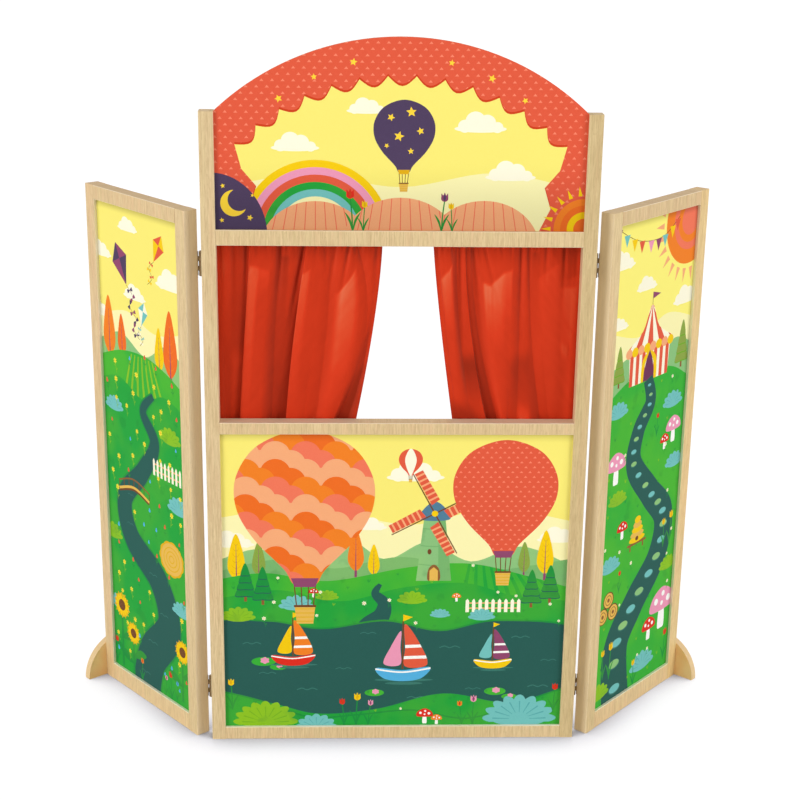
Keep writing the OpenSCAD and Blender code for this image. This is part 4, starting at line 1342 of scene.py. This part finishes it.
RIGHT_FOLDS = (
    ((-0.012, -0.018, -0.020), (2.5, 3.0, 3.0)),
    ((0.050, 0.050, 0.040), (3.5, 1.0, 1.0)),
    ((0.167, 0.154, 0.110), (1.0, 0.0, 1.5)),
    ((0.270, 0.260, 0.200), (0.6, 0.8, 4.0)),
    ((0.335, 0.335, 0.270), (3.4, 3.8, 5.5)),
    ((0.367, 0.370, 0.370), (1.2, 2.4, 0.6)),
    ((0.404, 0.423, 0.460), (3.4, 4.3, 2.6)),
    ((0.470, 0.500, 0.530), (1.0, 1.0, 2.6)),
    ((0.600, 0.620, 0.575), (0.3, 0.0, 1.0)),
    ((0.735, 0.728, 0.628), (4.6, 8.0, 10.0)),
    ((0.775, 0.776, 0.716), (3.0, 6.5, 11.0)),
    ((0.786, 0.783, 0.726), (0.6, 2.5, 2.2)),
    ((0.841, 0.862, 0.840), (4.4, 5.8, 1.5)),
    ((0.895, 0.912, 0.930), (0.2, 0.3, 2.0)),
    ((1.000, 1.000, 1.000), (2.5, 3.0, 5.0)),
)

# Pinched pleats under the rod: place across at the rail, drift down the cloth, how far down, millimetres deep
LEFT_PLEATS = (
    (0.020, 0.00, 0.30, 2.0), (0.098, -0.02, 0.30, 2.2), (0.180, -0.05, 0.24, 3.0), (0.240, 0.10, 0.05, 1.6),
    (0.300, -0.10, 0.05, 1.6), (0.388, -0.06, 0.30, 3.4), (0.425, -0.05, 0.12, 1.4),
    (0.528, -0.16, 0.42, 3.4), (0.600, -0.05, 0.10, 1.4), (0.655, 0.05, 0.12, 1.8),
    (0.720, -0.10, 0.20, 2.4), (0.800, -0.12, 0.22, 3.4), (0.835, 0.10, 0.06, 1.6),
    (0.880, -0.10, 0.05, 1.6), (0.968, 0.00, 0.18, 2.4),
)
RIGHT_PLEATS = (
    (0.020, 0.00, 0.20, 1.0), (0.100, 0.03, 0.22, 2.2), (0.165, -0.08, 0.06, 1.6), (0.225, 0.05, 0.14, 2.4),
    (0.290, 0.10, 0.06, 1.6), (0.352, -0.03, 0.26, 2.6), (0.396, 0.04, 0.40, 2.3), (0.470, 0.00, 0.05, 2.0),
    (0.535, -0.10, 0.06, 1.4), (0.660, -0.28, 0.20, 2.6), (0.690, -0.05, 0.10, 1.8),
    (0.728, -0.06, 0.40, 3.2), (0.815, 0.06, 0.42, 3.2), (0.870, 0.05, 0.05, 2.0), (0.930, 0.20, 0.06, 1.2),
    (0.976, 0.02, 0.16, 2.4),
)

# Where the cloth bells out under the pleats and carries a painted highlight, or falls back and carries painted
# shade: from one fold line and height to another along its upper edge, how far down it fades, and how bright it is
LEFT_SHINE = (
    (0.40, 0.02, 1.00, 0.00, 0.65, 0.60), (2.70, 0.27, 3.05, 0.15, 0.95, 0.4),
    (3.05, 0.13, 3.50, 0.14, 1.10, 0.8), (3.50, 0.145, 4.10, 0.165, 0.30, 0.5),
    (7.85, 0.19, 8.45, 0.15, 0.90, 0.8), (10.6, 0.285, 12.0, 0.15, 0.95, 1.1),
    (13.0, 0.55, 14.6, 0.45, 1.60, -0.5), (1.10, 0.62, 2.05, 0.62, 2.00, 0.55),
    (5.10, 0.08, 5.90, 0.08, 0.60, -0.55), (13.3, 0.74, 15.3, 0.66, 2.40, -0.5),
)
RIGHT_SHINE = (
    (0.30, 0.24, 1.60, 0.245, 0.60, 0.5), (1.60, 0.10, 3.20, 0.20, 0.75, 0.35),
    (0.50, -0.10, 1.70, -0.10, 0.35, -0.3), (6.75, 0.145, 7.30, 0.165, 0.50, 0.8),
    (7.30, 0.165, 8.00, 0.235, 0.62, 1.25), (8.00, 0.235, 8.40, 0.22, 0.55, 1.1),
    (12.6, 0.12, 13.6, 0.20, 0.50, 1.0), (4.40, 0.62, 6.90, 0.66, 1.25, -0.7),
    (4.80, 0.95, 5.90, 0.94, 1.25, 0.9), (1.10, 0.60, 1.60, 0.56, 0.66, 0.8),
    (10.2, 0.64, 12.1, 0.66, 0.95, -1.2), (11.4, 0.96, 14.1, 0.91, 1.60, -1.0),
    (-0.40, 0.16, 1.30, 0.20, 3.60, 0.42), (3.00, 0.05, 3.90, 0.05, 0.60, -0.45),
)


def through(values, t):
    """The soft curve through three values, at t from 0 to 1."""
    first, middle, last = values
    return first * (1 - t) * (1 - 2 * t) + 4 * middle * t * (1 - t) + last * t * (2 * t - 1)


def clamp(value, low=0, high=1):
    return min(max(value, low), high)


def ease(low, high, value):
    t = clamp((value - low) / (high - low))
    return t * t * (3 - 2 * t)


def descent(z):
    """How far down a height is, from 0 under the rail to 1 at the sill."""
    return (RAIL_FOOT - z) / (RAIL_FOOT - SILL)


class Drape:
    """One curtain's cloth as it hangs: where each of its threads lies.

    Under the rail its free edge is rod_edge from the middle of the stage. It sweeps out from there in a bow.
    """

    def __init__(self, side, folds, pleats, shine, rod_edge, sweep, bow, seed):
        self.side, self.folds, self.pleats, self.shine = side, folds, pleats, shine
        self.rod_edge, self.sweep, self.bow, self.seed = rod_edge, sweep, bow, seed

    def free_edge(self, t):
        return self.rod_edge + self.sweep * max(t, 0) ** self.bow

    def depth(self, fold, t):
        return max(through(self.folds[fold][1], clamp(t, 0, 1.04)), 0)

    def swell_and_painted_shine(self, u, t):
        """How far the cloth bells out, and how strong its painted highlight or painted shade is there, by fold
        line and height.
        """
        total = 0.0
        for left, left_top, right, right_top, fade, strength in self.shine:
            share = (u - left) / (right - left)
            top = left_top + (right_top - left_top) * clamp(share)
            beside = ease(-0.25, 0.25, share) * (1 - ease(0.75, 1.25, share))
            fading = clamp((fade - t) / (fade - top))
            # Only the bells under the pleats start at an edge
            blur = 0.012 if top < 0.4 else 0.06
            total += strength * beside * ease(top - blur, top + blur, t) * fading
        return min(total, 1.3)

    def hang(self, u, z):
        """The cloth at a fold line, or between two, at a height."""
        fold = min(int(u), len(self.folds) - 2)
        share = u - fold
        t = descent(z)
        place = clamp(t, 0, 1.05)
        near, far = (through(self.folds[k][0], place) for k in (fold, fold + 1))
        across = near + (far - near) * share
        x = POST_EDGE + (self.free_edge(t) - POST_EDGE) * across
        start, end = self.depth(fold, t), self.depth(fold + 1, t)
        # A fold is round in front and sharp behind
        rise = math.sin(share * math.pi / 2) if start > end else 1 - math.cos(share * math.pi / 2)
        deep = start + (end - start) * rise
        for spot, drift, reach, sink in self.pleats:
            gap = (across - spot - drift * place) / (0.011 + 0.02 * place)
            if abs(gap) < 3:
                deep += sink * math.exp(-gap * gap) * math.exp(-(place / reach) ** 2)
        # Small gathers under the rod, then broad drifts and fine creases
        ripple = math.sin(across * 190 + 3 * noise.noise(Vector((across * 9, 0, self.seed + 9))))
        deep += 0.45 * ripple * math.exp(-place / 0.05)
        deep += 0.8 * noise.noise(Vector((x * 34, z * 9, self.seed))) * min(1, place + 0.4)
        deep += 0.35 * noise.noise(Vector((x * 90 + z * 60, z * 34, self.seed + 2)))
        deep -= 1.3 * self.swell_and_painted_shine(u, t)
        farthest = CLOTH_FARTHEST + (CLOTH_BY_POST - CLOTH_FARTHEST) * ease(0.266, 0.273, x)
        return Vector((self.side * x, clamp(CLOTH_FRONT + deep * MM, CLOTH_NEAREST, farthest), z))

    def column(self, u):
        """One thread: up the hem's turning, up the front, over the rod and down to the pocket's seam."""
        levels = [HEM + (RAIL_FOOT + 0.004 - HEM) * step / (COLUMN - 1) for step in range(COLUMN)]
        line = [self.hang(u, z) for z in levels]
        turning = [self.hang(u, HEM + HEM_TURN * (1 - step / 3)) + BEHIND for step in range(3)]
        seam = self.hang(u, RAIL_FOOT + 0.001)
        radius = clamp(0.4 * (ROD_Y - seam.y) + ROD_CLEAR * 0.6, ROD_CLEAR, ROD_CLEAR + 0.0008)
        over = []
        for step in range(9):
            angle = math.radians(176 - 24 * step)
            over.append(Vector((seam.x, ROD_Y + radius * math.cos(angle), ROD_Z + radius * math.sin(angle))))
        drop = Vector((seam.x, min(seam.y + LAYER, CLOTH_FARTHEST), seam.z))
        return turning + line + over + [over[-1].lerp(drop, step / 5) for step in range(1, 6)]


def drape_mesh(name, drape):
    """The curtain as a grid of threads, with its cut laid out flat in its UV map."""
    last = len(drape.folds) - 1
    places = [step / THREADS for step in range(last * THREADS + 1)]
    columns = [drape.column(u) for u in places]
    # The free edge is turned back on itself and stitched
    turn = HEM_TURN / abs(columns[-1][HEM_ROW].x - columns[-1 - THREADS][HEM_ROW].x)
    for step in range(1, 5):
        columns.append([point + BEHIND for point in drape.column(last - turn * step / 4)])
    rows = len(columns[0])
    points = [point for column in columns for point in column]
    faces = []
    for c in range(len(columns) - 1):
        for r in range(rows - 1):
            corners = [c * rows + r, (c + 1) * rows + r, (c + 1) * rows + r + 1, c * rows + r + 1]
            faces.append(corners if drape.side < 0 else corners[::-1])
    mesh = bpy.data.meshes.new(name)
    mesh.from_pydata(points, [], faces)
    run, across = 0.0, [0.0]
    for near, far in zip(columns, columns[1:]):
        run += (far[WIDTH_ROW] - near[WIDTH_ROW]).length
        across.append(run)
    up = [0.0]
    for low, high in zip(columns[0], columns[0][1:]):
        up.append(up[-1] + (high - low).length)
    layer = mesh.uv_layers.new(name="cloth")
    for loop in mesh.loops:
        c, r = divmod(loop.vertex_index, rows)
        layer.data[loop.index].uv = (across[c], up[r])
    # Painted light and shade for the satin's red, on each point of the cloth
    lustre = mesh.attributes.new("lustre", "FLOAT", "POINT")
    for c, column in enumerate(columns):
        before, after = columns[max(c - 1, 0)], columns[min(c + 1, last * THREADS)]
        u = places[min(c, last * THREADS)]
        for r, point in enumerate(column):
            run_x = after[r].x - before[r].x
            lean = (after[r].y - before[r].y) / run_x if abs(run_x) > 1e-6 else 0
            t = descent(point.z)
            depth = clamp((point.y - CLOTH_FRONT) / CLOTH_DEEP)
            # Paler where the cloth faces to the left, as painted light; darker deeper back and just under the
            # rail, as painted shade; and the painted highlights and shade of the shine table
            shine = 0.62 - 0.32 * clamp(lean, -0.7, 0.8) * (1 - 0.7 * depth) - 0.42 * depth
            shine += 0.30 * drape.swell_and_painted_shine(u, t) - 0.10 * (1 - ease(0.05, 0.15, t))
            lustre.data[c * rows + r].value = clamp(shine)
    mesh.shade_smooth()
    mesh.materials.append(FINISHES["satin"])
    return mesh, run, up[-1]


def seam_lines(name, drape):
    """The sewing lines, as chains of points just clear of the cloth."""
    last = len(drape.folds) - 1
    clear = Vector((0, SEAM_CLEAR, 0))
    edge = []
    for step in range(61):
        z = HEM + 0.002 + (RAIL_FOOT - HEM - 0.002) * step / 60
        width = abs(drape.hang(last, z).x - drape.hang(last - 1, z).x)
        edge.append(drape.hang(last - (HEM_TURN - SEAM_INSET) / width, z) - clear)
    places = [step / SEWN for step in range(SEWN * last + 1)]
    hem = [drape.hang(u, HEM + HEM_TURN - SEAM_INSET) - clear for u in places]
    pocket = [drape.hang(u, RAIL_FOOT + 0.0015) - clear for u in places]
    points, edges = [], []
    for line in (edge, hem, pocket):
        edges += [(len(points) + step, len(points) + step + 1) for step in range(len(line) - 1)]
        points += line
    mesh = bpy.data.meshes.new(name)
    mesh.from_pydata(points, edges, [])
    return mesh


def stitching():
    """Lockstitches along sewing lines."""
    recipe = Recipe("lockstitches", Pitch=0.0026, Stitch=0.0019, Thread=0.00034)
    curve = recipe.node("GeometryNodeMeshToCurve", {}, {"Mesh": recipe.start})
    pitch = recipe.start.output("Pitch")
    dots = recipe.node("GeometryNodeResampleCurve", {"mode": "LENGTH"}, {"Curve": curve, "Length": pitch})
    along = recipe.node("GeometryNodeInputTangent")
    turn = recipe.node("FunctionNodeAlignRotationToVector", {"axis": "Z"}, {"Vector": along})
    bead = recipe.node("GeometryNodeMeshUVSphere", {}, {"Segments": 6, "Rings": 4, "Radius": 0.5}, "Mesh")
    thick = recipe.start.output("Thread")
    long = recipe.start.output("Stitch")
    size = recipe.node("ShaderNodeCombineXYZ", {}, {"X": thick, "Y": thick, "Z": long})
    place = {"Points": dots, "Instance": bead, "Rotation": turn, "Scale": size}
    recipe.end(recipe.node("GeometryNodeInstanceOnPoints", {}, place), FINISHES["thread"])
    return recipe


def hang_curtain(name, drape, sewing):
    """A gathered curtain on the rod, with its stitching, in place of the CAD node."""
    mesh, width, length = drape_mesh(name + "_cloth", drape)
    cloth = add_object(name + "_cloth", mesh)
    wall = cloth.modifiers.new("wall", "SOLIDIFY")
    wall.thickness = CLOTH_THICK
    wall.offset = 0
    stitches = sewing.make(name + "_stitches", seam_lines(name + "_seams", drape))
    for piece in (cloth, stitches):
        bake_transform(piece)
    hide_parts(name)


def hang_curtains():
    sewing = stitching()
    left = Drape(-1, LEFT_FOLDS, LEFT_PLEATS, LEFT_SHINE, rod_edge=0.026, sweep=0.038, bow=1.45, seed=3)
    right = Drape(1, RIGHT_FOLDS, RIGHT_PLEATS, RIGHT_SHINE, rod_edge=0.052, sweep=0.035, bow=1.2, seed=8)
    hang_curtain("left_curtain", left, sewing)
    hang_curtain("right_curtain", right, sewing)


# Studio


EYE = Vector((-0.0947, -2.4427, 1.3882))
YAW, PITCH, ROLL = (math.radians(angle) for angle in (2.305, 18.0915, 0.855))
LENS = 73.981


def set_camera():
    """The photograph's view, fitted to the corners of the frame and wings."""
    forward = Vector((math.sin(YAW) * math.cos(PITCH), math.cos(YAW) * math.cos(PITCH), -math.sin(PITCH)))
    across = Vector((math.cos(YAW), -math.sin(YAW), 0))
    over = across.cross(forward)
    right = math.cos(ROLL) * across + math.sin(ROLL) * over
    top = math.cos(ROLL) * over - math.sin(ROLL) * across
    camera = add_object("camera", bpy.data.cameras.new("camera"))
    camera.data.lens = LENS
    camera.data.sensor_width = 36
    camera.data.clip_end = 100
    camera.matrix_world = Matrix.Translation(EYE) @ Matrix((right, top, -forward)).transposed().to_4x4()
    bpy.context.scene.camera = camera


def lamp(name, azimuth, elevation, strength, softness):
    """A far soft lamp. Azimuth is from straight in front, positive to the right."""
    light = bpy.data.lights.new(name, "SUN")
    light.energy = strength
    light.angle = math.radians(softness)
    a, e = math.radians(azimuth), math.radians(elevation)
    towards = Vector((math.sin(a) * math.cos(e), -math.cos(a) * math.cos(e), math.sin(e)))
    holder = add_object(name, light)
    holder.rotation_mode = "QUATERNION"
    holder.rotation_quaternion = towards.to_track_quat("Z", "Y")


AMBIENT = 0.40
OVERHEAD = 0.20
FLOOR_HALF = 16


def set_studio():
    """White room and soft lamps. What the camera sees past the object is white."""
    scene = bpy.context.scene
    scene.view_settings.view_transform = "Standard"
    scene.world = bpy.data.worlds.new("studio")
    scene.world.use_nodes = True
    room = Graph(scene.world.node_tree)
    rays = room.node("ShaderNodeLightPath", output="Is Camera Ray")
    seen = rays.larger(rays.output("Is Glossy Ray")).larger(rays.output("Is Transmission Ray"))
    high = room.parts(room.node("ShaderNodeTexCoord", output="Generated"))[2]
    level = AMBIENT + high.between(0.1, 0.9) * OVERHEAD
    strength = seen + (1 - seen) * level
    light = room.node("ShaderNodeBackground", {}, {"Color": (1, 1, 1, 1), "Strength": strength})
    room.node("ShaderNodeOutputWorld", {}, {"Surface": light})
    lamp("left_lamp", -56, 10, 1.60, 30)
    lamp("right_lamp", 60, 10, 1.40, 30)
    lamp("back_lamp", 172, 38, 0.55, 30)


def lay_floor():
    """A pale floor, which the camera sees white but for the shadow close to the object."""
    floor = Finish("pale_floor")
    rays = floor.node("ShaderNodeLightPath", output="Is Camera Ray")
    near = floor.node("ShaderNodeAmbientOcclusion", {"samples": 12}, {"Distance": 0.085}, "AO")
    # Under the wings the rim of the shadow fades towards their feet
    outer = abs(floor.parts(floor.place())[0]).between(0.28, 0.56)
    near = near + near * (1 - near) * outer * 0.7
    lit = near.between(0.15, 0.97) * 0.87
    # The shadow leans to lavender
    cast = floor.mix(near.between(0.35, 0.97), (0.90, 0.90, 1.02, 1), (0.99, 0.98, 1, 1))
    glow = floor.node("ShaderNodeEmission", {}, {"Color": cast, "Strength": lit})
    paint = floor.node("ShaderNodeBsdfDiffuse", {}, {"Color": colour(232, 232, 232)})
    faint = floor.node("ShaderNodeBsdfDiffuse", {}, {"Color": colour(136, 136, 136)})
    seen = floor.node("ShaderNodeAddShader", {}, {0: glow, 1: faint})
    both = floor.node("ShaderNodeMixShader", {}, {"Fac": rays, 1: paint, 2: seen})
    floor.node("ShaderNodeOutputMaterial", {}, {"Surface": both})
    mesh = bpy.data.meshes.new("floor")
    corners = [(x * FLOOR_HALF, y * FLOOR_HALF, 0) for x, y in ((-1, -1), (1, -1), (1, 3), (-1, 3))]
    mesh.from_pydata(corners, [], [(0, 1, 2, 3)])
    mesh.materials.append(floor.material)
    add_object("floor", mesh)


set_camera()
set_studio()
lay_floor()
dress_frame()
plant_flowers(hang_prints())
hang_curtains()
